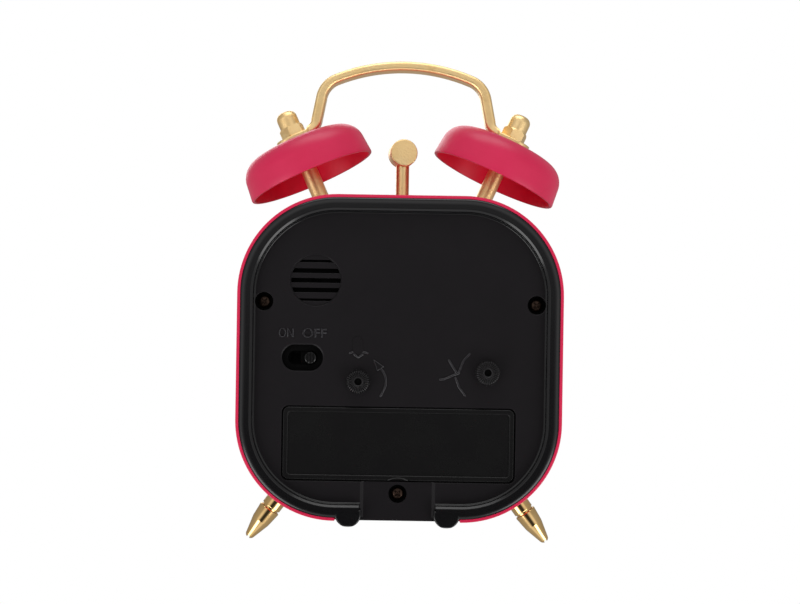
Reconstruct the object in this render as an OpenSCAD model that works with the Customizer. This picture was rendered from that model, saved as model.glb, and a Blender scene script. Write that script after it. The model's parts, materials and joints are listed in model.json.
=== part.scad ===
// Square metal twin-bell alarm clock, standing on two brass feet and the rear cover's two half-round feet.
// Pieces are drawn upright, with X to the right and Z up seen from the dial, Y towards the back and the
// zero point in the middle of the case, and are then leaned back until the feet meet the table at Z = 0.

/* [Case] */
// Width and height of the square case
case_w = 96; // [92:0.5:104]
// Outer radius of the case corners, seen from the front
case_r = 29.3; // [27:0.1:32]
// Depth of the case, front edge to rear edge
case_d = 43.5; // [41:0.5:50]
// Thickness of the case sheet
case_t = 0.9; // [0.7:0.1:1.1]
// Width of the turned-in front lip
lip_w = 4.5; // [3.8:0.1:6]
// Rounding of the front edge
lip_r = 2.2; // [1.6:0.1:2.8]
// Gap between the case wall and the pieces stacked inside it
inner_gap = 0.3; // [0.2:0.05:0.5]

/* [Front] */
// Thickness of the lens
lens_t = 1.6; // [1:0.1:2.2]
// Room for the hands between the dial and the lens
hand_room = 7; // [6.6:0.1:9]
// Wall of the spacer ring
spacer_t = 3.6; // [3:0.1:5]
// Thickness of the dial
dial_t = 0.8; // [0.5:0.1:1.2]
// Thickness of each hand
hand_t = 0.5; // [0.3:0.05:0.6]
// Length of the hour hand
hour_hand_l = 20; // [14:0.5:26]
// Length of the minute hand
minute_hand_l = 31; // [24:0.5:36]
// Length of the second hand
second_hand_l = 32; // [24:0.5:37]
// Length of the alarm hand
alarm_hand_l = 14; // [10:0.5:24]
// Hour shown at rest
shown_hour = 10; // [1:1:12]
// Minute shown at rest
shown_minute = 9; // [0:1:59]

/* [Rear cover] */
// Gap between the cover and the case wall
cover_gap = 0.1; // [0.05:0.05:0.3]
// How far the cover's rim stands behind the case
cover_proud = 0.5; // [0:0.1:1.5]
// Width of the raised rim
rim_w = 4.1; // [3.4:0.1:5]
// Rounding of the rim's outer edge
rim_r = 1.4; // [0.8:0.1:1.8]
// Rounding of the rim's inner edge
rim_in_r = 1.2; // [0.6:0.1:1.4]
// Depth of the panel below the rim
panel_drop = 3; // [2:0.1:4]
// Thickness of the panel
panel_t = 2; // [1.6:0.1:2.4]
// Thickness of the cover's skirt
skirt_t = 2; // [1.5:0.1:2.5]
// Depth of the skirt inside the case
skirt_d = 9; // [7:0.5:11]
// Distance of the rear feet from the middle
tab_x = 14.5; // [13.5:0.1:18]
// Radius of the rear feet
tab_r = 3.9; // [3.2:0.1:4.2]
// Depth of the rear feet
tab_d = 4.5; // [3:0.1:6]
// How far the rear feet reach below the case
tab_reach = 1.4; // [1:0.1:2.4]
// Material worn off the rear feet by the flat they stand on
tab_flat = 0.4; // [0.2:0.05:0.6]
// Half width of the notch between the rear feet
notch_x = 10.9; // [9:0.1:12]
// Sink of the notch floor below the panel
notch_sink = 0.4; // [0.2:0.1:1]

/* [Cover screws] */
// Distance of the side screws from the rim
screw_inset = 2.6; // [2.6:0.1:6]
// Height of the side screws above the middle
screw_z = 16.3; // [10:0.1:20]
// Web between the lower screw's recess and the gap of the battery door
screw_web = 0.85; // [0.65:0.05:1.25]
// Radius of the screw recesses
recess_r = 2.7; // [2.4:0.1:3]
// Depth of the screw recesses
recess_d = 3; // [2.2:0.1:4]
// Radius of the screw heads
head_r = 1.85; // [1.6:0.05:2.2]
// Height of the screw heads
head_h = 1.4; // [1:0.1:1.8]
// Radius of the screw shanks
screw_r = 1; // [0.8:0.05:1.2]
// Length of the screw shanks
screw_l = 9; // [7:0.5:12]
// Wall of the screw bosses
boss_t = 1; // [0.8:0.1:1.4]
// Length of the screw bosses below the panel
boss_l = 6.25; // [5.5:0.25:8]

/* [Grille] */
// Distance of the grille's middle from the side of the cover
grille_in = 21.9; // [19:0.1:24]
// Distance of the grille's middle from the top of the cover
grille_down = 24.3; // [23:0.1:27]
// Radius of the grille
grille_r = 7.55; // [6:0.05:9]
// Height of one slot
slot_h = 1.35; // [1:0.05:1.8]
// Distance from slot to slot
slot_pitch = 2.86; // [2.4:0.02:3.2]
// Sink of the grille's bars below the panel
grille_sink = 0.4; // [0.2:0.1:0.8]

/* [Alarm switch] */
// Distance of the switch recess's middle from the side of the cover
switch_in = 18.3; // [17:0.1:20]
// Height of the switch above the middle
switch_z = -0.2; // [-2:0.1:2]
// Length of the switch recess
switch_l = 13; // [12.6:0.1:16]
// Height of the switch recess
switch_h = 8.6; // [7:0.1:10]
// Depth of the switch recess
switch_sink = 2.2; // [1.6:0.1:2.4]
// Thickness of the floor and wall round the recess
switch_floor = 1.2; // [0.9:0.1:1.5]
// Travel of the switch from OFF to ON
switch_travel = 4.6; // [3.5:0.1:5]
// Radius of the switch's round knob
switch_knob_r = 1.75; // [1.4:0.05:1.9]

/* [Battery] */
// Width of the battery door
door_w = 68.5; // [66:0.5:71]
// Height of the battery door
door_h = 21.6; // [20.6:0.1:22]
// Thickness of the battery door
door_t = 1.6; // [1.2:0.1:1.8]
// Corner radius of the battery door
door_r = 1.7; // [1:0.1:2.5]
// Gap round the battery door
door_gap = 0.25; // [0.2:0.05:0.4]
// Middle of the battery door below the middle of the case, as a share of the case's width
door_share = 0.2646; // [0.2605:0.0001:0.2665]
// Width of the door's border
door_border = 1.6; // [1.2:0.1:2.4]
// Length of the battery bay
bay_l = 60; // [58:0.5:62]
// Height of the battery bay
bay_h = 17; // [15.5:0.1:17.5]
// Depth of the battery bay
bay_d = 16.5; // [15.5:0.1:18]
// Wall of the battery bay
bay_t = 1.2; // [1:0.1:1.4]
// Wire radius of the battery spring
spring_wire = 0.35; // [0.3:0.05:0.4]
// Turns of the battery spring
spring_turns = 5; // [4:1:6]

/* [Setting knobs] */
// Radius of the time knob
time_knob_r = 3.95; // [3.4:0.05:4.4]
// Radius of the alarm knob
alarm_knob_r = 3.75; // [3.2:0.05:4.2]
// Height of the knobs
knob_h = 3.2; // [2.4:0.1:4]
// Gap between the knobs and the panel
knob_gap = 0.3; // [0.2:0.1:0.6]
// Depth of the grip teeth
knurl_d = 0.35; // [0.2:0.05:0.5]
// Number of grip teeth
knurl_n = 40; // [28:2:48]
// Radius of the hole in the knobs
knob_hole_r = 1.1; // [0.8:0.05:1.3]
// Radius of the setting shafts
shaft_r = 1.5; // [1.4:0.05:1.8]

/* [Gears] */
// Gear size of the time train, pitch diameter per tooth
time_m = 0.45; // [0.44:0.005:0.46]
// Gear size of the alarm pair
alarm_m = 0.5; // [0.48:0.005:0.52]
// Gear size of the seconds train
step_m = 0.32; // [0.315:0.005:0.33]
// Thickness of the wheels
gear_t = 1; // [0.8:0.1:1.2]
// Gap from one layer of wheels to the next
layer_gap = 0.6; // [0.4:0.05:0.7]
// Play between meshing teeth
backlash = 0.1; // [0.06:0.01:0.12]
// Direction of the alarm knob from the middle, in degrees from the right
alarm_dir = -30.2; // [-34:0.1:-28]
// Distance of the time knob from the middle
time_far = 26.3; // [26:0.05:26.5]
// Direction of the time knob from the middle
time_dir = 188.5; // [186:0.1:190]
// Radius of the seconds arbor
arbor_r = 0.5; // [0.4:0.05:0.6]
// Wall of the tubes that turn on it
tube_t = 0.45; // [0.4:0.05:0.55]
// Running clearance of shafts and tubes
run = 0.05; // [0.03:0.01:0.08]
// Thickness of the chassis plate
chassis_t = 2; // [1.6:0.1:2.4]
// Distance between the chassis plate and the rear bridge
bridge_gap = 13.5; // [13:0.1:14]
// Thickness of the rear bridge
bridge_t = 1.5; // [1.2:0.1:1.8]

/* [Bells] */
// Radius of the bells at the mouth
bell_r = 20; // [18:0.1:21]
// Height of the bells
bell_h = 12.6; // [11.6:0.1:14]
// Thickness of the bells
bell_t = 1; // [0.7:0.1:1.2]
// Taper of the bell wall
bell_taper = 5.5; // [4:0.5:9]
// Radius of the bell's shoulder
bell_shoulder = 6.3; // [5.5:0.1:7.5]
// Radius of the flat middle of the crown
crown_flat = 5; // [4.6:0.1:6]
// Drop of the crown from its flat middle to the shoulder
crown_drop = 1.2; // [0.9:0.05:1.5]
// Tilt of the bells away from each other
bell_tilt = 24.3; // [22:0.1:26]
// Distance from the middle at which the posts leave the case
post_x = 24.2; // [23:0.1:26]
// Length of post below the bell's mouth
post_low = 8.6; // [7.6:0.1:10]
// Radius of the posts
post_r = 2.5; // [2.2:0.05:2.8]
// Radius of the threaded ends of posts and feet
stud_r = 1.9; // [1.6:0.05:2]
// Width across flats of all nuts
nut_af = 6.8; // [6.4:0.1:7.4]
// Height of the hexagon of the cap nuts
cap_hex_h = 3; // [2.4:0.1:3.6]
// Radius of the dome of the cap nuts
cap_dome_r = 3.2; // [2.8:0.05:3.2]
// Full height of the cap nuts
cap_h = 7.9; // [6.6:0.1:8.4]
// Height of the nuts inside the case
nut_h = 3; // [2.2:0.1:3.4]

/* [Handle] */
// Height of the handle above the case
handle_rise = 43.1; // [41:0.1:47]
// Thickness of the handle bar
bar_t = 2.8; // [2.2:0.1:3.2]
// Depth of the handle bar, front to back
bar_d = 6; // [4.5:0.1:7.5]
// Rounding of the bar's edges
bar_round = 0.9; // [0.5:0.05:1]
// Radius of the arch, to the middle of the bar
arch_r = 54.6; // [48:0.1:64]
// Radius of the shoulders, to the middle of the bar
shoulder_r = 7.6; // [6:0.1:9]
// Radius of the bends at the tabs, to the middle of the bar
heel_r = 3.6; // [1.8:0.1:4]
// Lean of the handle's legs from upright
leg_lean = 11; // [9:0.5:14]
// Distance from the bell's axis to the leg
leg_in = 6.9; // [6.6:0.1:7.4]
// Thickness of the flattened tabs
flat_t = 1.3; // [1:0.1:1.6]
// Width of the flattened tabs
flat_w = 8.5; // [8:0.1:10]
// Reach of the tabs past the bell's axis
flat_end = 5.9; // [5:0.1:7]

/* [Hammer] */
// Height of the hammer's head above the case
head_rise = 15.1; // [14.6:0.1:15.8]
// Radius of the hammer's head
hammer_r = 4.15; // [3.8:0.05:4.3]
// Length of the hammer's head, front to back
hammer_l = 6; // [5:0.1:7]
// Turn of the head on its rod
hammer_twist = 9; // [0:1:10]
// Radius of the hammer's rod
rod_r = 2; // [1.6:0.05:2.1]
// Depth of the hammer's pivot below the top of the case
pivot_sink = 18; // [17.5:0.1:18.5]
// Swing of the hammer to each side
swing = 8.5; // [6:0.5:8.5]
// Radius of the pivot pin
pin_r = 1; // [0.8:0.05:1.2]
// Length of the lever below the pivot
lever_l = 10; // [9.5:0.1:10.5]
// Gap between the armature and the magnet's pole
pole_gap = 2.7; // [2.4:0.1:3]

/* [Feet] */
// Angle of the feet from straight down
foot_angle = 36.5; // [35:0.5:40]
// Distance of the feet from the front edge
foot_in = 16.4; // [16.4:0.1:20]
// Length of the neck
neck_l = 5.4; // [5:0.1:7]
// Radius of the neck
neck_r = 3.1; // [2.7:0.05:3.15]
// Width of the groove below the neck
groove_w = 0.5; // [0.3:0.1:0.8]
// Depth of the groove
groove_d = 0.4; // [0.2:0.05:0.5]
// Length of the barrel
barrel_l = 4.8; // [4:0.1:6]
// Radius of the barrel at its top
barrel_r = 3.35; // [2.9:0.05:3.4]
// Radius of the barrel at its lower edge
barrel_low_r = 2.9; // [2.6:0.05:3]
// Length of the tapered point
point_l = 6.6; // [6:0.1:8]
// Radius of the rounded tip
tip_r = 1.5; // [1.3:0.05:1.7]
// Width of the screwdriver slot in the tip
tip_slot = 0.8; // [0.6:0.1:1]

/* [Hidden] */
$fn = 64;

// Colours
pink = "#c63f58";
gold = "#d8b26a";
black = "#1d1c1f";
steel = "#b4b6ba";
copper = "#b0622f";

// Clearances shared by many pieces
fit = 0.03;
clear = 0.3;
eps = 0.01;

// Front to back: the places of the stacked pieces
y_front = -case_d / 2;
y_back = case_d / 2;
y_lens = y_front + case_t;
y_room = y_lens + lens_t;
y_dial = y_room + hand_room;
y_chassis = y_dial + dial_t;
y_gear = y_chassis + chassis_t;
y_bridge = y_gear + bridge_gap;
y_rim = y_back + cover_proud;
y_panel = y_rim - panel_drop;
y_boss = y_panel - boss_l;

// Case and cover outlines
corner_c = case_w / 2 - case_r;
stack_w = case_w - 2 * (case_t + inner_gap);
stack_r = case_r - case_t - inner_gap;
lens_w = case_w - 2 * (lip_r + inner_gap);
lens_r = case_r - lip_r - inner_gap;
cover_w = case_w - 2 * (case_t + cover_gap);
cover_r = case_r - case_t - cover_gap;

// Places on the cover
grille_x = cover_w / 2 - grille_in;
grille_z = cover_w / 2 - grille_down;
switch_x = cover_w / 2 - switch_in;
door_z = case_w * door_share;
door_top = -door_z + door_h / 2;
door_low = -door_z - door_h / 2;

// Cover screws
screw_x = cover_w / 2 - rim_w - screw_inset;
low_screw_z = door_low - door_gap - screw_web - recess_r;
screw_spots = [[screw_x, screw_z], [-screw_x, screw_z], [0, low_screw_z]];
boss_r = recess_r + boss_t;
post_wall = 2;
y_head = y_panel - recess_d;

// Battery door and bay
door_seat = 0.3;
y_ledge = y_panel - door_t - door_seat;
ledge_t = 1.5;
y_bay = y_ledge - bay_d;
hook_x = 20;
hook_w = 8;
hook_t = 1.3;
hook_rise = 1.6;
hook_gap = 0.15;
latch_w = 10;
scoop_r = 6;
scoop_d = 1.2;
contact_w = 12;
contact_t = 0.5;
spring_big = 5;
spring_small = 2.6;
spring_l = 7;

// Alarm switch: the slider rests at OFF
y_switch_floor = y_panel - switch_sink;
y_switch_under = y_switch_floor - switch_floor;
slider_x = switch_x - switch_travel / 2;
slider_w = 6.2;
slider_h = 6;
slider_t = 1.2;
slider_gap = 0.15;
y_slider = y_switch_under - slider_gap - slider_t;
window_l = switch_travel + 2 * (switch_knob_r + clear);
window_h = 2 * (switch_knob_r + clear);
stem_w = 2;
body_l = 12;
body_h = 7;

// Gear teeth
pressure = 25;
tooth_out = 0.75;
tooth_in = 1.05;
flank_steps = 4;
alarm_knob_n = 20;
alarm_wheel_n = 36;
time_knob_n = 20;
minute_wheel_n = 42;
cannon_n = 14;
minute_pinion_n = 12;
hour_n = 48;
seconds_n = 60;
step_pinion_n = 12;
step_n = 60;
rotor_n = 10;

// Gear layers, front to back
layer = gear_t + layer_gap;
y_alarm = y_gear + layer_gap;
y_hour = y_alarm + layer;
y_minute = y_hour + layer;
y_seconds = y_minute + layer;
y_step = y_seconds + layer;
y_rotor = y_step + layer;

// Gear places
alarm_far = alarm_m * (alarm_knob_n + alarm_wheel_n) / 2;
alarm_x = alarm_far * cos(alarm_dir);
alarm_z = alarm_far * sin(alarm_dir);
time_x = time_far * cos(time_dir);
time_z = time_far * sin(time_dir);
minute_far = time_m * (cannon_n + minute_wheel_n) / 2;
hour_m = 2 * minute_far / (minute_pinion_n + hour_n);
setting_far = time_m * (time_knob_n + minute_wheel_n) / 2;
minute_dir = time_dir - acos((minute_far ^ 2 + time_far ^ 2 - setting_far ^ 2) / (2 * minute_far * time_far));
minute_x = minute_far * cos(minute_dir);
minute_z = minute_far * sin(minute_dir);
setting_dir = atan2(time_z - minute_z, time_x - minute_x);
step_dir = 40;
step_far = step_m * (seconds_n + step_pinion_n) / 2;
step_x = step_far * cos(step_dir);
step_z = step_far * sin(step_dir);
rotor_dir = 20;
rotor_m = step_m * 0.8125;
rotor_far = rotor_m * (step_n + rotor_n) / 2;
rotor_x = step_x + rotor_far * cos(rotor_dir);
rotor_z = step_z + rotor_far * sin(rotor_dir);

// Circuit board, hung from two bosses of the cover
board_t = 1.2;
y_board = y_panel - 9;
board_left = alarm_x + shaft_r + 0.6;
board_right = screw_x - boss_r - 0.5;
board_low = -10;
board_high = 35;
board_hole = [[board_left + 2.6, board_high - 2.6], [board_right - 2.6, board_low + 2.4]];
board_post_r = 2.1;
buzzer_r = 9;
buzzer_h = 5;

// Gear phases: a tooth of one wheel stands in a gap of the next
cannon_phase = 0;
minute_phase = mesh_phase(cannon_phase, cannon_n, minute_wheel_n, minute_dir);
time_phase = mesh_phase(minute_phase, minute_wheel_n, time_knob_n, setting_dir);
pinion_phase = 0;
hour_phase = mesh_phase(pinion_phase, minute_pinion_n, hour_n, minute_dir + 180);
alarm_phase = 0;
alarm_knob_phase = mesh_phase(alarm_phase, alarm_wheel_n, alarm_knob_n, alarm_dir);
seconds_phase = 0;
step_pinion_phase = mesh_phase(seconds_phase, seconds_n, step_pinion_n, step_dir);
step_phase = 0;
rotor_phase = mesh_phase(step_phase, step_n, rotor_n, rotor_dir);

// Tubes round the seconds arbor: minute, hour and alarm, each turning on the one inside it
minute_in = arbor_r + run;
minute_out = minute_in + tube_t;
hour_in = minute_out + run;
hour_out = hour_in + tube_t;
alarm_in = hour_out + run;
alarm_out = alarm_in + tube_t;
dial_hole = alarm_out + clear;
pivot_r = 0.6;
wheel_arbor_r = 0.8;

// Hands, front faces from the dial outwards
hand_step = 1.1;
y_alarm_hand = y_dial - 1 - hand_t;
y_hour_hand = y_alarm_hand - hand_step;
y_minute_hand = y_hour_hand - hand_step;
y_second_hand = y_minute_hand - hand_step;
shown_second = 35;
shown_alarm = 195;

// Rear bridge of the movement
pillar_r = 2;
pillars = [[time_x - 5.5, 9.5], [time_x + 6.5, -9.8], [alarm_x + 9.5, -9.5], [rotor_x + 12, 10]];

// Step motor
magnet_r = 3;
magnet_l = 2.5;
stator_gap = 0.3;
stator_t = 1.2;
stator_w = 3;
coil_far = 8.5;
coil_z = rotor_z + coil_far;
coil_l = 11;
coil_r = 2.6;
core_w = 2.4;
core_t = 1.2;

// Bells: foot of the post on the case, middle of the mouth and height of the stack on the crown
post_z = corner_c + sqrt(case_r ^ 2 - (post_x - corner_c) ^ 2);
bell_x = post_x + post_low * sin(bell_tilt);
bell_z = post_z + post_low * cos(bell_tilt);
crown_in = bell_h - bell_t;
cap_seat = bell_h + flat_t;
cap_bore_h = cap_h - 2;
nut_corner = nut_af / 2 / cos(30);
case_normal = asin((post_x - corner_c) / case_r);
nut_drop = case_t / cos(bell_tilt - case_normal) + nut_corner * tan(bell_tilt - case_normal) + 0.4;

// Lean of the clock, from the tips of the brass feet and the rear edge of the black ones
foot_y = y_front + foot_in;
foot_l = neck_l + groove_w + barrel_l + point_l;
tip_far = case_r + foot_l - tip_r;
tip_z = -corner_c - tip_far * cos(foot_angle);
tab_z = -case_w / 2 - tab_reach;
reach_y = y_rim - foot_y;
drop_z = tip_z - tab_z;
lean = asin(tip_r / norm([reach_y, drop_z])) - atan2(drop_z, reach_y);
stand_z = y_rim * sin(lean) - tab_z * cos(lean);
front_reach = (y_front + lip_r) * cos(lean) + (lip_r - case_w / 2) * sin(lean) - lip_r;
rim_reach = (y_rim - rim_r) * cos(lean) + (cover_w / 2 - rim_r) * sin(lean) + rim_r;
bell_reach = bell_z * sin(lean) + bell_r * norm([cos(lean), sin(bell_tilt) * sin(lean)]);
stand_y = -(front_reach + max(rim_reach, bell_reach)) / 2;

// Bell outline: straight wall, round shoulder and sloping crown
shoulder_z = bell_h - crown_drop - bell_shoulder;
shoulder_x = bell_r - (bell_shoulder + shoulder_z * sin(bell_taper)) / cos(bell_taper);
crown_line = [crown_flat - shoulder_x, bell_h - shoulder_z];
crown_end = atan2(crown_line[1], crown_line[0]) - acos(bell_shoulder / norm(crown_line));

// Handle path, to the middle of the bar
tab_dir = [cos(bell_tilt), -sin(bell_tilt)];
bell_dir = [sin(bell_tilt), cos(bell_tilt)];
leg_dir = [-sin(leg_lean), cos(leg_lean)];
leg_side = [-cos(leg_lean), -sin(leg_lean)];
heel_turn = 90 - leg_lean - bell_tilt;
leg_foot = [bell_x, bell_z] + (bell_h + bar_t / 2) * bell_dir - leg_in * tab_dir;
heel_back = heel_r * tan(heel_turn / 2);
arch_c = [0, case_w / 2 + handle_rise - bar_t / 2 - arch_r];
shoulder_line = leg_foot + shoulder_r * leg_side - arch_c;
shoulder_b = shoulder_line * leg_dir;
shoulder_s = sqrt(shoulder_b ^ 2 - shoulder_line * shoulder_line + (arch_r - shoulder_r) ^ 2) - shoulder_b;
shoulder_c = arch_c + shoulder_line + shoulder_s * leg_dir;
arch_end = atan2(shoulder_c[1] - arch_c[1], shoulder_c[0] - arch_c[0]);
leg_l = shoulder_s - heel_back;

// Hammer
pivot_z = case_w / 2 - pivot_sink;
hammer_z = case_w / 2 + head_rise;
hub_r = 3.4;
hub_l = 5;
cheek_gap = 0.3;
cheek_t = 1.2;
y_cheek = hub_l / 2 + cheek_gap;
web_x = 8;
bracket_h = 8;
bracket_foot = 7;
bracket_hole = 4;
lever_w = 3;
armature_w = 3;
armature_h = 8;
armature_d = 6;
magnet_z = pivot_z - lever_l;
pole_x = -armature_w / 2 - pole_gap;
core_r = 2;
striker_coil_l = 9;
striker_coil_r = 4.6;
yoke_t = 1.5;
yoke_h = 8;
yoke_back = 3;
slot_x = rod_r + pivot_sink * tan(swing) + 0.6;
slot_y = rod_r + 0.6;

function mesh_phase(phase_a, n_a, n_b, dir) =
    dir + 180 - 360 / n_b * (0.5 - (dir - phase_a) * n_a / 360);
function involute(a) = tan(a) * 180 / PI - a;
function tooth_half(m, n, r) =
    let (pitch_r = m * n / 2, base_r = pitch_r * cos(pressure), at_r = max(r, base_r))
    90 / n - backlash / pitch_r * 90 / PI + involute(pressure) - involute(acos(base_r / at_r));
function arc_points(c, r, from, to, n = 8) =
    [for (i = [0 : n]) let (a = from + (to - from) * i / n) c + r * [cos(a), sin(a)]];

// Leans the upright clock back on its feet
module stand() {
    translate([0, stand_y, stand_z]) rotate([-lean, 0, 0]) children();
}

// Plate from an outline in X and Z, between two depths
module slab(y0, y1) {
    translate([0, y1, 0]) rotate([90, 0, 0]) linear_extrude(y1 - y0) children();
}

// Round bar along the depth
module rod_y(x, z, y0, y1, r) {
    translate([x, y1, z]) rotate([90, 0, 0]) cylinder(h = y1 - y0, r = r);
}

// Box between two corners
module block(low, high) {
    translate(low) cube(high - low);
}

// Hexagonal prism with a width across flats
module hex(af, h) {
    cylinder(h = h, r = af / 2 / cos(30), $fn = 6);
}

module rounded(w, h, r) {
    square([w - 2 * r, h], center = true);
    square([w, h - 2 * r], center = true);
    for (x = [-1, 1])
        for (y = [-1, 1])
            translate([x * (w / 2 - r), y * (h / 2 - r)]) circle(r);
}

// Carries a section, drawn with its outer edge at zero, round a square with round corners
module around(w, r) {
    straight = w / 2 - r;
    rotate([-90, 0, 0])
        for (a = [0 : 90 : 270])
            rotate(a) {
                translate([straight, straight, 0]) rotate_extrude(angle = 90) translate([r, 0]) children();
                translate([w / 2, straight, 0]) rotate([90, 0, 0]) linear_extrude(2 * straight) children();
            }
}

module gear(m, n, phase) {
    root = m * n / 2 - tooth_in * m;
    tip = m * n / 2 + tooth_out * m;
    radii = [for (k = [0 : flank_steps]) root + (tip - root) * k / flank_steps];
    polygon([for (i = [0 : n - 1])
        let (mid = phase + 360 * i / n)
        each concat(
            [for (k = [0 : flank_steps]) radii[k] * [cos(mid - tooth_half(m, n, radii[k])),
                sin(mid - tooth_half(m, n, radii[k]))]],
            [for (k = [flank_steps : -1 : 0]) radii[k] * [cos(mid + tooth_half(m, n, radii[k])),
                sin(mid + tooth_half(m, n, radii[k]))]])]);
}

module wheel(x, z, y, m, n, phase, t = gear_t) {
    translate([x, 0, z]) slab(y, y + t) gear(m, n, phase);
}

// Places a bell's own pieces: zero at the middle of the mouth, Z towards the crown
module bell_place(side) {
    translate([side * bell_x, 0, bell_z]) rotate([0, side * bell_tilt, 0]) children();
}

// Places a foot's own pieces: zero on the case, Z outwards
module foot_place(side) {
    translate([side * corner_c, foot_y, -corner_c]) rotate([0, side * (180 - foot_angle), 0])
        translate([0, 0, case_r]) children();
}

module corner_round(side, up) {
    rod_y(side * corner_c, up * corner_c, y_front - 1, y_back + 1, case_r);
}

module case_shell() {
    section = concat(
        [[0, y_back], [-case_t, y_back]],
        arc_points([-lip_r, y_front + lip_r], lip_r - case_t, 0, -90),
        [[-lip_w, y_lens], [-lip_w, y_front]],
        arc_points([-lip_r, y_front + lip_r], lip_r, -90, 0));
    color(pink) stand() difference() {
        around(case_w, case_r) polygon(section);
        block([-slot_x, -slot_y, case_w / 2 - 2], [slot_x, slot_y, case_w / 2 + 1]);
        block([-tab_x - tab_r - cover_gap, y_back - tab_d, -case_w / 2 - 1],
            [tab_x + tab_r + cover_gap, y_back + 1, 2 - case_w / 2]);
        for (side = [-1, 1]) {
            bell_place(side) translate([0, 0, -post_low - 6]) cylinder(h = 9, r = stud_r + clear / 2);
            foot_place(side) translate([0, 0, -3]) cylinder(h = 6, r = stud_r + clear / 2);
        }
    }
}

module front_lens() {
    color("#dfe8ec") stand() slab(y_lens, y_room) rounded(lens_w, lens_w, lens_r);
}

module spacer_ring() {
    color("#f2efe8") stand() slab(y_room, y_dial) difference() {
        rounded(stack_w, stack_w, stack_r);
        rounded(stack_w - 2 * spacer_t, stack_w - 2 * spacer_t, stack_r - spacer_t);
    }
}

module dial_plate() {
    color("#f5f3ee") stand() slab(y_dial, y_chassis) difference() {
        rounded(stack_w, stack_w, stack_r);
        circle(dial_hole);
    }
}

module chassis() {
    color(black) stand() difference() {
        union() {
            slab(y_chassis, y_gear) rounded(stack_w, stack_w, stack_r);
            for (p = screw_spots)
                rod_y(p[0], p[1], y_chassis, y_boss, screw_r + post_wall);
        }
        for (p = screw_spots)
            rod_y(p[0], p[1], y_boss - screw_l, y_boss + 1, screw_r + fit);
        rod_y(0, 0, y_chassis - 1, y_gear + 1, alarm_out + run);
        for (p = [[alarm_x, alarm_z], [time_x, time_z]])
            rod_y(p[0], p[1], y_chassis - 1, y_gear + 1, shaft_r + run);
        for (p = [[minute_x, minute_z], [step_x, step_z], [rotor_x, rotor_z]])
            rod_y(p[0], p[1], y_chassis - 1, y_gear + 1, pivot_r + run);
        for (p = concat(pillars, bracket_spots()))
            rod_y(p[0], p[1], y_chassis - 1, y_gear + 1, screw_r + fit);
    }
}

module rim_section() {
    polygon(concat(
        [[0, y_rim - skirt_d]],
        arc_points([-rim_r, y_rim - rim_r], rim_r, 0, 90),
        arc_points([-rim_w + rim_in_r, y_rim - rim_in_r], rim_in_r, 90, 180),
        [[-rim_w, y_panel - panel_t], [-skirt_t, y_panel - panel_t], [-skirt_t, y_rim - skirt_d]]));
}

module rear_foot(side) {
    tab_c = tab_z - tab_flat + tab_r;
    translate([side * tab_x, 0, 0]) {
        rod_y(0, tab_c, y_rim - tab_d, y_rim, tab_r);
        block([-tab_r, y_rim - tab_d, tab_c], [tab_r, y_rim, skirt_t - cover_w / 2]);
    }
}

module stadium(l, h) {
    square([l - h, h], center = true);
    for (side = [-1, 1])
        translate([side * (l - h) / 2, 0]) circle(h / 2);
}

module cover_walls() {
    around(cover_w, cover_r) rim_section();
    slab(y_panel - panel_t, y_panel)
        rounded(cover_w - 2 * skirt_t, cover_w - 2 * skirt_t, cover_r - skirt_t);
    for (side = [-1, 1])
        rear_foot(side);
    for (p = screw_spots)
        rod_y(p[0], p[1], y_boss, y_panel - eps, boss_r);
    for (p = board_hole)
        rod_y(p[0], p[1], y_board + board_t, y_panel - eps, board_post_r);
    translate([switch_x, 0, switch_z]) slab(y_switch_under, y_panel - eps)
        stadium(switch_l + 2 * switch_floor, switch_h + 2 * switch_floor);
    translate([0, 0, -door_z]) {
        slab(y_ledge - ledge_t, y_panel - eps)
            square([door_w + 2 * (door_gap + bay_t), door_h + 2 * (door_gap + bay_t)], center = true);
    }
    // lip between the feet, in the gap of the case
    block([-tab_x, y_rim - tab_d, -case_w / 2], [tab_x, y_panel - notch_sink, skirt_t - cover_w / 2]);
}

// Room for the door's hooks and latch
module latch_cuts() {
    for (side = [-1, 1])
        block([side * hook_x - hook_w / 2 - clear, y_ledge - ledge_t - 1, -door_z + bay_h / 2 - eps],
            [side * hook_x + hook_w / 2 + clear, y_panel - door_t, door_top + hook_rise + clear]);
    block([-latch_w / 2 - clear, y_ledge - ledge_t - 1, door_low - door_gap],
        [latch_w / 2 + clear, y_panel - door_t, -door_z - bay_h / 2 + eps]);
}

module cover_cuts() {
    for (p = screw_spots) {
        rod_y(p[0], p[1], y_head, y_rim + 1, recess_r);
        rod_y(p[0], p[1], y_boss - 1, y_rim, screw_r + 0.2);
    }
    for (p = board_hole)
        rod_y(p[0], p[1], y_board, y_panel - panel_t, screw_r + fit);
    translate([grille_x, 0, grille_z]) {
        slab(y_panel - grille_sink, y_panel + 1) circle(grille_r);
        slab(y_panel - panel_t - 1, y_panel) intersection() {
            circle(grille_r);
            for (k = [-2 : 2])
                translate([0, k * slot_pitch]) square([2 * grille_r, slot_h], center = true);
        }
    }
    translate([switch_x, 0, switch_z]) {
        slab(y_switch_floor, y_panel + 1) stadium(switch_l, switch_h);
        slab(y_switch_under - 1, y_panel) square([window_l, window_h], center = true);
    }
    for (p = [[alarm_x, alarm_z], [time_x, time_z]])
        rod_y(p[0], p[1], y_panel - panel_t - 1, y_panel + 1, shaft_r + clear);
    translate([0, 0, -door_z]) {
        slab(y_ledge, y_panel + 1)
            rounded(door_w + 2 * door_gap, door_h + 2 * door_gap, door_r + door_gap);
        slab(y_bay, y_panel) square([bay_l, bay_h], center = true);
    }
    latch_cuts();
    block([-notch_x, y_panel - notch_sink, -case_w / 2 - 5], [notch_x, y_rim + 1, door_low - door_gap + eps]);
}

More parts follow.
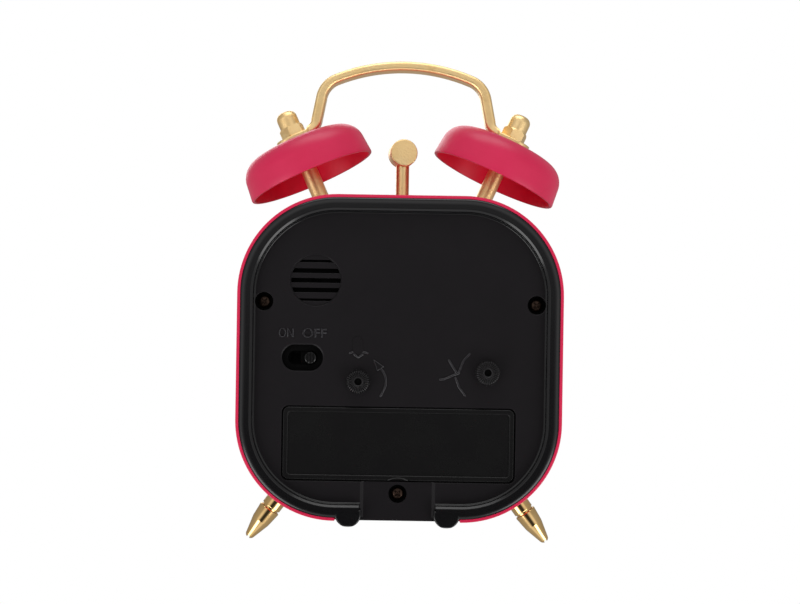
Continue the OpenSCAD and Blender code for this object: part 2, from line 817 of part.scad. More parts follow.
module rear_cover() {
    color(black) difference() {
        stand() difference() {
            cover_walls();
            cover_cuts();
        }
        block([-case_w, -case_w, -case_w], [case_w, case_w, 0]);
    }
}

// Open box for the cell, welded to the ledge under the door
module battery_tray() {
    color(black) stand() difference() {
        translate([0, 0, -door_z]) difference() {
            slab(y_bay - bay_t, y_ledge - ledge_t)
                square([bay_l + 2 * bay_t, bay_h + 2 * bay_t], center = true);
            slab(y_bay, y_ledge) square([bay_l, bay_h], center = true);
        }
        latch_cuts();
    }
}

// Cross-head screw, its head's seat at zero and its head along Z
module cross_screw(r, l, big_r, h) {
    difference() {
        union() {
            translate([0, 0, -l]) cylinder(h = l + eps, r = r);
            cylinder(h = h, r = big_r);
        }
        for (a = [0, 90])
            rotate(a) translate([-big_r * 0.65, -big_r * 0.13, h * 0.45]) cube([big_r * 1.3, big_r * 0.26, h]);
    }
}

module cover_screws() {
    color("#3a332c") stand()
        for (p = screw_spots)
            translate([p[0], y_head, p[1]]) rotate([-90, 45, 0]) cross_screw(screw_r, screw_l, head_r, head_h);
}

module battery_door() {
    panel_sink = 0.4;
    color(black) stand() difference() {
        union() {
            translate([0, 0, -door_z]) slab(y_panel - door_t, y_panel) rounded(door_w, door_h, door_r);
            for (side = [-1, 1]) {
                x = side * hook_x;
                block([x - hook_w / 2, y_panel - door_t - hook_gap - hook_t, door_top - 2],
                    [x + hook_w / 2, y_panel - door_t - hook_gap, door_top + hook_rise]);
                block([x - hook_w / 2, y_panel - door_t - hook_gap - eps, door_top - 2],
                    [x + hook_w / 2, y_panel - door_t + eps, door_top - 0.5]);
            }
            block([-latch_w / 2, y_panel - door_t - hook_t, door_low + 0.2],
                [latch_w / 2, y_panel - door_t + eps, door_low + 1.6]);
        }
        translate([0, 0, -door_z]) slab(y_panel - panel_sink, y_panel + 1)
            rounded(door_w - 2 * door_border, door_h - 2 * door_border, door_r / 2);
        translate([0, 0, door_low - scoop_r + scoop_d])
            slab(y_panel - door_t / 2, y_panel + 1) circle(scoop_r);
    }
}

module battery_contact() {
    x = -bay_l / 2;
    color(steel) stand() {
        block([x, y_bay + 0.5, -door_z - contact_w / 2], [x + contact_t, y_ledge - 2, -door_z + contact_w / 2]);
        translate([x + contact_t - eps, y_bay + bay_d / 2, -door_z]) rotate([0, 90, 0])
            cylinder(h = 0.6, r1 = 3, r2 = 2);
    }
}

// Wire of round section along points, closed at both ends
module wire(points, r, sides = 6) {
    last = len(points) - 1;
    rings = [for (i = [0 : last])
        let (t = points[min(i + 1, last)] - points[max(i - 1, 0)],
            u = cross(t, [1, 0, 0]) / norm(cross(t, [1, 0, 0])),
            v = cross(t, u) / norm(t))
        each [for (k = [0 : sides - 1]) points[i] + r * (cos(360 * k / sides) * u + sin(360 * k / sides) * v)]];
    sides_list = [for (i = [0 : last - 1])
        for (k = [0 : sides - 1])
            let (a = i * sides + k, b = i * sides + (k + 1) % sides)
            each [[a, b, a + sides], [b, b + sides, a + sides]]];
    caps = [[for (k = [0 : sides - 1]) sides - 1 - k], [for (k = [0 : sides - 1]) last * sides + k]];
    polyhedron(rings, concat(sides_list, caps));
}

module battery_spring() {
    rings = 12;
    n = spring_turns * rings;
    x0 = bay_l / 2 - spring_wire - 0.1;
    points = [for (i = [0 : n])
        let (f = i / n, r = spring_big + (spring_small - spring_big) * f, a = 360 * i / rings)
        [x0 - spring_l * f, y_bay + bay_d / 2 + r * cos(a), -door_z + r * sin(a)]];
    color(steel) stand() wire(points, spring_wire);
}

module circuit_board() {
    color("#2f6b3f") stand() difference() {
        block([board_left, y_board, board_low], [board_right, y_board + board_t, board_high]);
        for (p = board_hole)
            rod_y(p[0], p[1], y_board - 1, y_board + board_t + 1, screw_r + 0.2);
    }
}

module quartz_crystal() {
    color(steel) stand() translate([switch_x - 6, y_board - 1.05, switch_z + 8])
        rotate([0, 90, 0]) cylinder(h = 6.5, r = 1.05);
}

module board_screws() {
    color(steel) stand()
        for (p = board_hole)
            translate([p[0], y_board, p[1]]) rotate([90, 0, 0]) cross_screw(screw_r, 5, head_r, head_h);
}

module buzzer() {
    color("#151515") stand() difference() {
        rod_y(grille_x, grille_z, y_board + board_t, y_board + board_t + buzzer_h, buzzer_r);
        rod_y(grille_x, grille_z, y_board + board_t + buzzer_h - 1.5, y_board + board_t + buzzer_h + 1, 1.5);
    }
}

module switch_body() {
    color("#303236") stand() difference() {
        block([switch_x - body_l / 2, y_board + board_t, switch_z - body_h / 2],
            [switch_x + body_l / 2, y_slider - 0.2, switch_z + body_h / 2]);
        block([slider_x - stem_w / 2 - clear, y_slider - 2, switch_z - stem_w / 2 - clear],
            [slider_x + switch_travel + stem_w / 2 + clear, y_slider, switch_z + stem_w / 2 + clear]);
    }
}

module switch_slider() {
    knob_top = y_panel - 0.4;
    color(black) stand() difference() {
        union() {
            translate([slider_x, 0, switch_z]) {
                slab(y_slider, y_slider + slider_t) square([slider_w, slider_h], center = true);
                slab(y_slider - 1.5, y_slider + eps) square(stem_w, center = true);
            }
            rod_y(slider_x, switch_z, y_slider + slider_t - eps, knob_top, switch_knob_r);
        }
        for (k = [-1 : 1])
            block([slider_x + k * 0.9 - 0.18, knob_top - 0.4, switch_z - 3],
                [slider_x + k * 0.9 + 0.18, knob_top + 1, switch_z + 3]);
    }
}

// Toothed setting knob with a face recess and a middle hole, on the end of its shaft
module knob(x, z, r) {
    y0 = y_panel + knob_gap;
    translate([x, 0, z]) difference() {
        slab(y0, y0 + knob_h) polygon([for (i = [0 : 2 * knurl_n - 1])
            (r - (i % 2) * knurl_d) * [cos(180 * i / knurl_n), sin(180 * i / knurl_n)]]);
        rod_y(0, 0, y0 + knob_h - 0.5, y0 + knob_h + 1, r - 1.1);
        rod_y(0, 0, y0 - 1, y0 + knob_h / 2, shaft_r + fit);
        rod_y(0, 0, y0, y0 + knob_h + 1, knob_hole_r);
    }
}

// Setting shaft: pivot in the chassis, gear in its layer, plain end in the knob
module setting_shaft(x, z, y, m, n, phase) {
    rod_y(x, z, y_chassis + 0.2, y_panel + knob_gap + knob_h / 2, shaft_r);
    wheel(x, z, y, m, n, phase);
}

module alarm_knob() {
    color(black) stand() knob(alarm_x, alarm_z, alarm_knob_r);
}

module alarm_shaft() {
    color("#e8e4da") stand() setting_shaft(alarm_x, alarm_z, y_alarm, alarm_m, alarm_knob_n, alarm_knob_phase);
}

module time_knob() {
    color(black) stand() knob(time_x, time_z, time_knob_r);
}

module time_shaft() {
    color("#e8e4da") stand() setting_shaft(time_x, time_z, y_minute, time_m, time_knob_n, time_phase);
}

// Tube from a hand's face back to a wheel
module tube(y0, y1, r_in, r_out) {
    slab(y0, y1) difference() {
        circle(r_out);
        circle(r_in);
    }
}

module centre_wheel(y, y_hand, m, n, phase, r_in, r_out) {
    slab(y, y + gear_t) difference() {
        gear(m, n, phase);
        circle(r_in);
    }
    tube(y_hand, y + eps, r_in, r_out);
}

module alarm_wheel() {
    color("#e8e4da") stand() centre_wheel(y_alarm, y_alarm_hand, alarm_m, alarm_wheel_n, alarm_phase,
        alarm_in, alarm_out);
}

module hour_wheel() {
    color("#e8e4da") stand() centre_wheel(y_hour, y_hour_hand, hour_m, hour_n, hour_phase, hour_in, hour_out);
}

module cannon_pinion() {
    color(gold) stand() centre_wheel(y_minute, y_minute_hand, time_m, cannon_n, cannon_phase,
        minute_in, minute_out);
}

module minute_wheel() {
    color("#e8e4da") stand() {
        wheel(minute_x, minute_z, y_minute, time_m, minute_wheel_n, minute_phase);
        wheel(minute_x, minute_z, y_hour, hour_m, minute_pinion_n, pinion_phase, layer + eps);
        rod_y(minute_x, minute_z, y_gear + 0.2, y_bridge - 0.2, wheel_arbor_r);
        rod_y(minute_x, minute_z, y_chassis + 0.5, y_bridge + 1, pivot_r);
    }
}

module seconds_wheel() {
    color("#e8e4da") stand() {
        wheel(0, 0, y_seconds, step_m, seconds_n, seconds_phase);
        rod_y(0, 0, y_second_hand, y_bridge + 1, arbor_r);
        rod_y(0, 0, y_seconds, y_bridge - 0.2, 2 * arbor_r);
    }
}

module step_wheel() {
    color("#e8e4da") stand() {
        wheel(step_x, step_z, y_step, rotor_m, step_n, step_phase);
        wheel(step_x, step_z, y_seconds, step_m, step_pinion_n, step_pinion_phase, layer + eps);
        rod_y(step_x, step_z, y_gear + 0.2, y_bridge - 0.2, wheel_arbor_r);
        rod_y(step_x, step_z, y_chassis + 0.5, y_bridge + 1, pivot_r);
    }
}

module rotor() {
    color("#4a4a50") stand() {
        wheel(rotor_x, rotor_z, y_step, rotor_m, rotor_n, rotor_phase, layer + eps);
        rod_y(rotor_x, rotor_z, y_rotor, y_rotor + magnet_l, magnet_r);
        rod_y(rotor_x, rotor_z, y_gear + 0.2, y_bridge - 0.2, wheel_arbor_r);
        rod_y(rotor_x, rotor_z, y_chassis + 0.5, y_bridge + 1, pivot_r);
    }
}

// Stator: legs of soft iron from the coil's core to the ring round the rotor
module stator() {
    half = coil_l / 2 + stator_w;
    ring_r = magnet_r + stator_gap;
    y_core = y_rotor + stator_t;
    color(steel) stand() translate([rotor_x, 0, 0]) {
        slab(y_rotor, y_core) difference() {
            union() {
                translate([-half, rotor_z - stator_w / 2]) square([2 * half, coil_z - rotor_z + stator_w]);
                translate([0, rotor_z]) circle(ring_r + stator_w / 2);
            }
            translate([-half + stator_w, rotor_z + ring_r + 0.8]) square([coil_l, coil_z]);
            translate([0, rotor_z]) circle(ring_r);
        }
        block([-half, y_core - eps, coil_z - core_w / 2], [half, y_core + core_t, coil_z + core_w / 2]);
    }
}

module motor_coil() {
    y_mid = y_rotor + stator_t + core_t / 2;
    color(copper) stand() translate([rotor_x, y_mid, coil_z]) difference() {
        rotate([0, 90, 0]) {
            cylinder(h = coil_l - 1, r = coil_r, center = true);
            for (side = [-1, 1])
                translate([0, 0, side * (coil_l / 2 - 0.8)]) cylinder(h = 0.8, r = coil_r + 0.3, center = true);
        }
        cube([2 * coil_l, core_t + 2 * fit, core_w + 2 * fit], center = true);
    }
}

module rear_bridge() {
    low = -12;
    color("#e8e4da") stand() difference() {
        union() {
            block([time_x - 8, y_bridge, low], [rotor_x + 14.5, y_bridge + bridge_t, 12.5]);
            for (p = pillars)
                rod_y(p[0], p[1], y_gear, y_bridge + eps, pillar_r);
            for (side = [-1, 1])
                rod_y(rotor_x + side * (coil_l + stator_w) / 2, rotor_z, y_rotor + stator_t, y_bridge + eps, 1);
        }
        for (p = pillars)
            rod_y(p[0], p[1], y_gear - 1, y_bridge + bridge_t + 1, screw_r + 0.2);
        for (p = [[alarm_x, alarm_z], [time_x, time_z]])
            rod_y(p[0], p[1], y_bridge - 1, y_bridge + bridge_t + 1, shaft_r + run);
        for (p = [[minute_x, minute_z], [step_x, step_z], [rotor_x, rotor_z]])
            rod_y(p[0], p[1], y_bridge - 1, y_bridge + bridge_t + 1, pivot_r + run);
        rod_y(0, 0, y_bridge - 1, y_bridge + bridge_t + 1, arbor_r + run);
    }
}

module bridge_screws() {
    color(steel) stand()
        for (p = pillars)
            translate([p[0], y_bridge + bridge_t, p[1]]) rotate([-90, 0, 0])
                cross_screw(screw_r, bridge_t + bridge_gap + chassis_t - 0.3, head_r, head_h);
}

// Half outline of the bell, drawn in by an inset
module bell_outline(inset) {
    r = bell_shoulder - inset;
    c = [shoulder_x, shoulder_z];
    polygon(concat(
        [[0, 0], [bell_r - inset / cos(bell_taper), 0]],
        arc_points(c, r, bell_taper, crown_end, 12),
        [[crown_flat, bell_h - inset], [0, bell_h - inset]]));
}

module bell(side) {
    color(pink) stand() bell_place(side) difference() {
        rotate_extrude() difference() {
            bell_outline(0);
            translate([0, -eps]) bell_outline(bell_t);
        }
        cylinder(h = bell_h + 1, r = stud_r + clear / 2);
    }
}

module left_bell() {
    bell(-1);
}

module right_bell() {
    bell(1);
}

// Brass post: shoulder against the crown from inside, base cut to the case, threaded at both ends
module bell_post(side) {
    color(gold) stand() {
        difference() {
            bell_place(side) translate([0, 0, -post_low - 4]) cylinder(h = post_low + 4 + crown_in, r = post_r);
            corner_round(side, 1);
        }
        bell_place(side) {
            translate([0, 0, -post_low - nut_drop - nut_h]) cylinder(h = post_low + nut_drop + nut_h, r = stud_r);
            translate([0, 0, crown_in - eps]) cylinder(h = cap_seat + cap_bore_h - 1 - crown_in, r = stud_r);
        }
    }
}

module left_post() {
    bell_post(-1);
}

module right_post() {
    bell_post(1);
}

module plain_nut() {
    difference() {
        hex(nut_af, nut_h);
        translate([0, 0, -1]) cylinder(h = nut_h + 2, r = stud_r + fit);
    }
}

module post_nuts() {
    color(steel) stand()
        for (side = [-1, 1])
            bell_place(side) translate([0, 0, -post_low - nut_drop - nut_h]) plain_nut();
}

// Cap nut: hexagon with rounded corners below, dome above
module cap_nut() {
    edge = cap_dome_r * 0.6;
    difference() {
        union() {
            intersection() {
                hex(nut_af, cap_hex_h);
                translate([0, 0, -eps]) cylinder(h = cap_hex_h + 2 * eps, r1 = nut_af / 2 + cap_hex_h,
                    r2 = nut_af / 2 + 0.05);
            }
            rotate_extrude() polygon(concat(
                [[0, cap_hex_h - eps], [cap_dome_r, cap_hex_h - eps]],
                arc_points([cap_dome_r - edge, cap_h - edge], edge, 0, 80, 8),
                [[0, cap_h]]));
        }
        translate([0, 0, -1]) cylinder(h = cap_bore_h + 1, r = stud_r + fit);
    }
}

module cap_nuts() {
    color(gold) stand()
        for (side = [-1, 1])
            bell_place(side) translate([0, 0, cap_seat]) rotate(15) cap_nut();
}

module bar_section(less = 0) {
    rounded(bar_t - less, bar_d - less, bar_round);
}

// Bent stretch of the bar round a point of the X and Z plane
module bend(c, r, from, to, less = 0) {
    translate([c[0], 0, c[1]]) rotate([90, 0, 0]) rotate(from)
        rotate_extrude(angle = to - from) translate([r, 0]) bar_section(less);
}

// One shoulder, leg and heel, drawn with the leg upright and then leaned;
// a hair slimmer than the arch, and let into its end
module handle_side() {
    slim = 0.02;
    let_in = 0.3;
    translate([shoulder_c[0], 0, shoulder_c[1]]) rotate([0, -leg_lean, 0]) {
        bend([0, 0], shoulder_r, 0, arch_end - leg_lean + let_in, slim);
        translate([shoulder_r, 0, -leg_l]) linear_extrude(leg_l) bar_section(slim);
        bend([shoulder_r + heel_r, -leg_l], heel_r, 180, 180 + heel_turn, slim);
    }
}

module handle() {
    color(gold) stand() difference() {
        union() {
            bend(arch_c, arch_r, arch_end, 180 - arch_end);
            handle_side();
            mirror([1, 0, 0]) handle_side();
            for (side = [-1, 1])
                bell_place(side) mirror([side < 0 ? 1 : 0, 0, 0]) translate([0, 0, bell_h]) {
                    tab_l = leg_in - heel_back + flat_end - flat_w / 2;
                    tab_in = 0.6;
                    translate([heel_back - leg_in - tab_in, -flat_w / 2, 0]) cube([tab_l + tab_in, flat_w, flat_t]);
                    translate([flat_end - flat_w / 2, 0, 0]) cylinder(h = flat_t, r = flat_w / 2);
                }
        }
        for (side = [-1, 1])
            bell_place(side) cylinder(h = cap_seat + 0.5, r = stud_r + clear / 2);
    }
}

module hammer_head() {
    color(gold) stand() translate([0, 0, hammer_z]) rotate(hammer_twist) difference() {
        rod_y(0, 0, -hammer_l / 2, hammer_l / 2, hammer_r);
        translate([0, 0, -hammer_r - 1]) cylinder(h = hammer_r + 1, r = rod_r + fit);
    }
}

module hammer_arm() {
    color(gold) stand() difference() {
        union() {
            translate([0, 0, pivot_z]) cylinder(h = hammer_z - pivot_z - 0.1, r = rod_r);
            rod_y(0, pivot_z, -hub_l / 2, hub_l / 2, hub_r);
            block([-lever_w / 2, -lever_w / 2, magnet_z + armature_h / 2], [lever_w / 2, lever_w / 2, pivot_z]);
        }
        rod_y(0, pivot_z, -hub_l, hub_l, pin_r + run);
    }
}

module armature() {
    color(steel) stand() block([-armature_w / 2, -armature_d / 2, magnet_z - armature_h / 2],
        [armature_w / 2, armature_d / 2, magnet_z + armature_h / 2]);
}

module hammer_pin() {
    color(steel) stand() rod_y(0, pivot_z, -y_cheek - cheek_t - 0.5, y_cheek + cheek_t + 0.5, pin_r);
}

function bracket_spots() = [for (side = [-1, 1]) [side * (web_x + bracket_hole), pivot_z]];

// Folded bracket: feet on the chassis, two webs and two cheeks that hold the pin
module striker_bracket() {
    low = pivot_z - bracket_h / 2;
    high = pivot_z + bracket_h / 2;
    color(steel) stand() difference() {
        union() {
            for (side = [-1, 1]) {
                x = side * web_x;
                block([x - cheek_t / 2, y_gear, low], [x + cheek_t / 2, y_cheek + cheek_t, high]);
                end = x + side * bracket_foot;
                block([min(x, end), y_gear, low], [max(x, end), y_gear + cheek_t, high]);
            }
            block([-web_x, y_cheek, low], [web_x, y_cheek + cheek_t, high]);
            block([-web_x, -y_cheek - cheek_t, low], [web_x, -y_cheek, high]);
        }
        rod_y(0, pivot_z, -case_d, case_d, pin_r + fit);
        for (p = bracket_spots())
            rod_y(p[0], p[1], y_gear - 1, y_gear + cheek_t + 1, screw_r + 0.2);
    }
}

module bracket_screws() {
    color(steel) stand()
        for (p = bracket_spots())
            translate([p[0], y_gear + cheek_t, p[1]]) rotate([-90, 0, 0])
                cross_screw(screw_r, cheek_t + chassis_t - 0.3, head_r, head_h);
}

// Core of the magnet and the bent yoke that carries it from the chassis
module striker_yoke() {
    x0 = pole_x - striker_coil_l - 0.6;
    color(steel) stand() {
        translate([x0 - eps, 0, magnet_z]) rotate([0, 90, 0]) cylinder(h = pole_x - x0 + eps, r = core_r);
        block([x0 - yoke_t, y_gear, magnet_z - yoke_h / 2], [x0, yoke_back, magnet_z + yoke_h / 2]);
    }
}

module striker_coil() {
    color(copper) stand() translate([pole_x - striker_coil_l - 0.3, 0, magnet_z]) rotate([0, 90, 0])
        difference() {
            union() {
                cylinder(h = striker_coil_l, r = striker_coil_r);
                for (x = [0, striker_coil_l - 0.8])
                    translate([0, 0, x]) cylinder(h = 0.8, r = striker_coil_r + 0.3);
            }
            translate([0, 0, -1]) cylinder(h = striker_coil_l + 2, r = core_r + fit);
        }
}

// Turned foot: neck seated on the case, groove, barrel, point with a rounded, slotted tip
module foot(side) {
    s1 = neck_l;
    s2 = s1 + groove_w;
    s3 = s2 + barrel_l;
    slope = atan2(barrel_low_r - tip_r, point_l - tip_r);
    seat = 1;
    color(gold) stand() difference() {
        foot_place(side) difference() {
            union() {
                rotate_extrude() polygon(concat(
                    [[0, -seat], [neck_r, -seat], [neck_r, s1], [neck_r - groove_d, s1], [neck_r - groove_d, s2],
                        [barrel_r - 0.3, s2], [barrel_r, s2 + 0.3], [barrel_low_r, s3]],
                    arc_points([0, foot_l - tip_r], tip_r, slope, 90),
                    [[0, foot_l]]));
            }
            translate([-tip_slot / 2, -5, foot_l - 0.7]) cube([tip_slot, 10, 2]);
        }
        corner_round(side, -1);
    }
    color(gold) stand() foot_place(side) translate([0, 0, -foot_nut_drop() - nut_h])
        cylinder(h = foot_nut_drop() + nut_h + 0.5, r = stud_r);
}

function foot_nut_drop() = case_r - sqrt((case_r - case_t) ^ 2 - nut_corner ^ 2) + 0.05;

module left_foot() {
    foot(-1);
}

module right_foot() {
    foot(1);
}

module foot_nuts() {
    color(steel) stand()
        for (side = [-1, 1])
            foot_place(side) translate([0, 0, -foot_nut_drop() - nut_h]) plain_nut();
}

// Pointed hand with a round hub and a short tail, turned clockwise from twelve
module hand(y, l, w, hub_in, hub_out, angle, tail = 5) {
    translate([0, 0, 0]) slab(y, y + hand_t) difference() {
        union() {
            circle(hub_out);
            rotate(-angle) polygon([[-w / 2, -tail], [w / 2, -tail], [w * 0.65, l * 0.75], [0, l],
                [-w * 0.65, l * 0.75]]);
        }
        circle(hub_in);
    }
}

module hour_hand() {
    angle = 30 * shown_hour + shown_minute / 2;
    color(gold) stand() hand(y_hour_hand, hour_hand_l, 2, hour_out + fit, hour_out + 1.5, angle);
}

module minute_hand() {
    color(gold) stand() hand(y_minute_hand, minute_hand_l, 1.6, minute_out + fit, minute_out + 1.4,
        6 * shown_minute);
}

module second_hand() {
    color("#1a1a1a") stand() hand(y_second_hand, second_hand_l, 0.5, arbor_r + fit, arbor_r + 1.3,
        6 * shown_second, 9);
}

module alarm_hand() {
    color("#1a1a1a") stand() hand(y_alarm_hand, alarm_hand_l, 1, alarm_out + fit, alarm_out + 1.2,
        shown_alarm, 3);
}

case_shell();
front_lens();
spacer_ring();
dial_plate();
chassis();
rear_cover();
cover_screws();
battery_tray();
battery_door();
battery_contact();
battery_spring();
circuit_board();
quartz_crystal();
board_screws();
buzzer();
switch_body();
switch_slider();
alarm_knob();
alarm_shaft();
alarm_wheel();
alarm_hand();
time_knob();
time_shaft();
minute_wheel();
cannon_pinion();
minute_hand();
hour_wheel();
hour_hand();
seconds_wheel();
second_hand();
step_wheel();
rotor();
stator();
motor_coil();
rear_bridge();
bridge_screws();
left_bell();
right_bell();
left_post();
right_post();
post_nuts();
cap_nuts();
handle();
hammer_head();
hammer_arm();
armature();
hammer_pin();
striker_bracket();
bracket_screws();
striker_yoke();
striker_coil();
left_foot();
right_foot();
foot_nuts();
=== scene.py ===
import json
import math

import bmesh
import bpy
from mathutils import Matrix, Vector


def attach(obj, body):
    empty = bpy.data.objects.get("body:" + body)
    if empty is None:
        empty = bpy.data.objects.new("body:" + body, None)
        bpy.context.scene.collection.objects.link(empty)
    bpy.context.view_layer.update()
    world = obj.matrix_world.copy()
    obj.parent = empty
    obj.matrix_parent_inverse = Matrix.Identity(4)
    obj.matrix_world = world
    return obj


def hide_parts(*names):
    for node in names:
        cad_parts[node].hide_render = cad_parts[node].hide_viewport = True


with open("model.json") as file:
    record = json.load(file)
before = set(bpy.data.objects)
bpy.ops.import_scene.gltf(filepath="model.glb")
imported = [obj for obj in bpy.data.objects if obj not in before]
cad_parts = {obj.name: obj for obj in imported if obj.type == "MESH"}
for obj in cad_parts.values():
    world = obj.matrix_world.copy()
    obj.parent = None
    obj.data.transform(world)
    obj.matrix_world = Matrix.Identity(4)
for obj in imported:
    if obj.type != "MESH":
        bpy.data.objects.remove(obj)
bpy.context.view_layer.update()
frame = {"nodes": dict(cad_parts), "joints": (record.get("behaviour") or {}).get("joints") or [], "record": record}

# the clock leans back on its feet, so pieces are drawn in the case's own millimetres
# (x right seen from the dial, y to the rear, z up) and carried into the frame at the end
stem = next(j for j in frame["joints"] if j["name"] == "second_hand_turn")
depthDir = Vector(stem["axis"])
upDir = Vector((0, -depthDir.z, depthDir.y))
mm = 0.001
clockFrame = Matrix.Translation(Vector(stem["pos_m"])) @ Matrix(
    [(mm * side, mm * d, mm * u, 0) for side, d, u in zip((1, 0, 0), depthDir, upDir)] + [(0, 0, 0, 1)])


# a socket that takes part in sums; any other node comes from node()
class Wire:
    def __init__(self, tree, socket=None):
        self.tree = tree
        self.socket = socket

    def into(self, made, sockets):
        for key, value in sockets.items():
            if isinstance(value, Wire):
                self.tree.links.new(value.socket, made.inputs[key])
            else:
                made.inputs[key].default_value = value

    def node(self, kind, settings={}, sockets={}, out=0):
        made = self.tree.nodes.new("ShaderNode" + kind)
        for key, value in settings.items():
            if key == "stops":
                stops = made.color_ramp.elements
                while len(stops) < len(value):
                    stops.new(0.5)
                for stop, (spot, colour) in zip(stops, value):
                    stop.position = spot
                    stop.color = colour
            else:
                setattr(made, key, value)
        self.into(made, sockets)
        return Wire(self.tree, made.outputs[out])

    def sum(self, how, a, b):
        return self.node("Math", {"operation": how}, {0: a, 1: b})

    def __add__(self, other):
        return self.sum("ADD", self, other)

    def __sub__(self, other):
        return self.sum("SUBTRACT", self, other)

    def __rsub__(self, other):
        return self.sum("SUBTRACT", other, self)

    def __mul__(self, other):
        return self.sum("MULTIPLY", self, other)

    __radd__ = __add__
    __rmul__ = __mul__

    def most(self, other):
        return self.sum("MAXIMUM", self, other)

    def spread(self, low, high):
        return self.node("MapRange", {"clamp": True}, {"Value": self, "From Min": low, "From Max": high})

    def mix(self, a, b):
        return self.node("Mix", {"data_type": "RGBA"}, {0: self, 6: a, 7: b}, out=2)


def srgb(r, g, b):
    return tuple(((c / 255 + 0.055) / 1.055) ** 2.4 if c > 10 else c / 255 / 12.92 for c in (r, g, b)) + (1,)


grainDepth = 0.0001  # metres that a fine surface stands out


# shader with cloudy colour, uneven gloss and a fine surface; cloud and grain are sizes in mm
def newFinish(name, colour, tint, cloud, grain, lift, rough, shine=0.5, metal=0.0, alpha=1.0):
    mat = bpy.data.materials.new(name)
    mat.use_nodes = True
    wire = Wire(mat.node_tree)
    shader = mat.node_tree.nodes["Principled BSDF"]
    spot = wire.node("TexCoord", out="Object")
    patches = wire.node("TexNoise", {}, {"Vector": spot, "Scale": 1000 / cloud, "Detail": 5, "Roughness": 0.6})
    fine = wire.node("TexNoise", {}, {"Vector": spot, "Scale": 1000 / grain, "Detail": 2, "Roughness": 0.5})
    shade = patches.spread(0.32, 0.68)
    bump = wire.node("Bump", {}, {"Strength": lift, "Distance": grainDepth, "Height": fine})
    span = rough[1] - rough[0]
    wire.into(shader, {"Base Color": shade.mix(srgb(*colour), srgb(*tint)), "Normal": bump,
                       "Roughness": shade * (0.7 * span) + fine * (0.3 * span) + rough[0],
                       "Specular IOR Level": shine, "Metallic": metal, "Alpha": alpha})
    return mat, wire, shader, spot


# colour, tint, cloud, grain, lift, rough from and to, then shine, metal and alpha where they differ
finishes = {
    "pinkPaint": ((200, 22, 70), (194, 18, 65), 9, 0.9, 0.06, (0.30, 0.38), 0.4),
    "bellPaint": ((196, 25, 73), (191, 21, 68), 11, 0.9, 0.06, (0.36, 0.44), 0.4),
    # the bell's inside: a deeper, more saturated copy of the bell paint: painted shade and bounce light
    "bellInsidePaintedShade": ((234, 3, 62), (228, 2, 57), 7, 0.7, 0.08, (0.34, 0.44), 0.3),
    "blackPlastic": ((23, 21, 23), (20, 18, 20), 14, 0.3, 0.08, (0.32, 0.40), 0.11),
    "glossBlack": ((44, 43, 44), (36, 35, 36), 5, 0.25, 0.05, (0.22, 0.28), 0.4),
    # rim: glossier than the panel, and a darker copy of the same black plastic: painted shade
    "rimGlossAndShade": ((9, 8, 10), (7, 7, 8), 12, 0.4, 0.04, (0.16, 0.22), 0.42),
    "doorBlack": ((9, 8, 9), (7, 7, 7), 12, 0.3, 0.06, (0.24, 0.30), 0.3),
    # lighter plastic on the sides of the raised marks: painted highlight
    "marksPaintedHighlight": ((84, 83, 86), (62, 61, 64), 1.6, 0.2, 0.1, (0.24, 0.34), 0.4),
    # near-black for places where shade falls: recess floor, screw wells, knob bores, tooth valleys, under the
    # switch and the inner parts behind the grille: painted shade
    "paintedShadeBlack": ((5, 5, 5), (3, 3, 3), 6, 0.35, 0.1, (0.5, 0.62), 0.05),
    "darkBronze": ((60, 46, 38), (42, 33, 28), 0.8, 0.12, 0.2, (0.24, 0.40), 0.5, 0.95),
    "steel": ((190, 192, 196), (168, 170, 175), 2.5, 0.15, 0.12, (0.24, 0.36), 0.5, 1.0),
    "clearLens": ((236, 242, 244), (230, 238, 241), 30, 6, 0.02, (0.03, 0.06), 0.5, 1.0, 0.06),
    "dialWhite": ((240, 238, 232), (234, 231, 224), 16, 0.25, 0.06, (0.46, 0.56)),
    "dialInk": ((30, 28, 30), (38, 36, 38), 3, 0.2, 0.1, (0.40, 0.52)),
    "ivoryPlastic": ((232, 228, 217), (222, 216, 202), 4, 0.25, 0.12, (0.38, 0.5)),
    "greenBoard": ((40, 104, 60), (30, 84, 48), 2.2, 0.3, 0.2, (0.32, 0.46)),
    "magnetGrey": ((72, 72, 78), (58, 58, 63), 1.2, 0.2, 0.3, (0.4, 0.55), 0.5, 0.6),
    "handBlack": ((22, 22, 23), (30, 30, 31), 4, 0.2, 0.08, (0.3, 0.4)),
}
look = {name: newFinish(name, *spec)[0] for name, spec in finishes.items()}

# drawn bar and turned brass: bright metal with a little tarnish in patches
brass = dict(
    satin=dict(colour=(252, 220, 162), tint=(246, 210, 148), rough=(0.32, 0.46), lift=0.6),
    turned=dict(colour=(228, 192, 134), tint=(218, 180, 120), rough=(0.03, 0.07), lift=0.01), cloud=6,
    grain=0.5, tarnish=(150, 104, 54), tarnishScale=190, tarnishFrom=(0.56, 0.78), tarnishShare=0.3)


def brassFinish(name, kind):
    mat, wire, shader, spot = newFinish(name, cloud=brass["cloud"], grain=brass["grain"], metal=1.0,
                                        **brass[kind])
    patches = wire.node("TexNoise", {}, {"Vector": spot, "Scale": brass["tarnishScale"], "Detail": 6,
                                         "Roughness": 0.62})
    darkened = patches.spread(*brass["tarnishFrom"]) * brass["tarnishShare"]
    clean = Wire(mat.node_tree, shader.inputs["Base Color"].links[0].from_socket)
    wire.into(shader, {"Base Color": darkened.mix(clean, srgb(*brass["tarnish"]))})
    return mat


look["satinBrass"] = brassFinish("satinBrass", "satin")
look["turnedBrass"] = brassFinish("turnedBrass", "turned")

# windings: fine copper wire lies side by side round the coil
winding = dict(
    finish=((120, 58, 24), (190, 108, 56), 3, 0.2, 0.1, (0.28, 0.4), 0.5, 0.9), pitch=0.25, perScale=20,
    waver=0.4, lift=0.7)


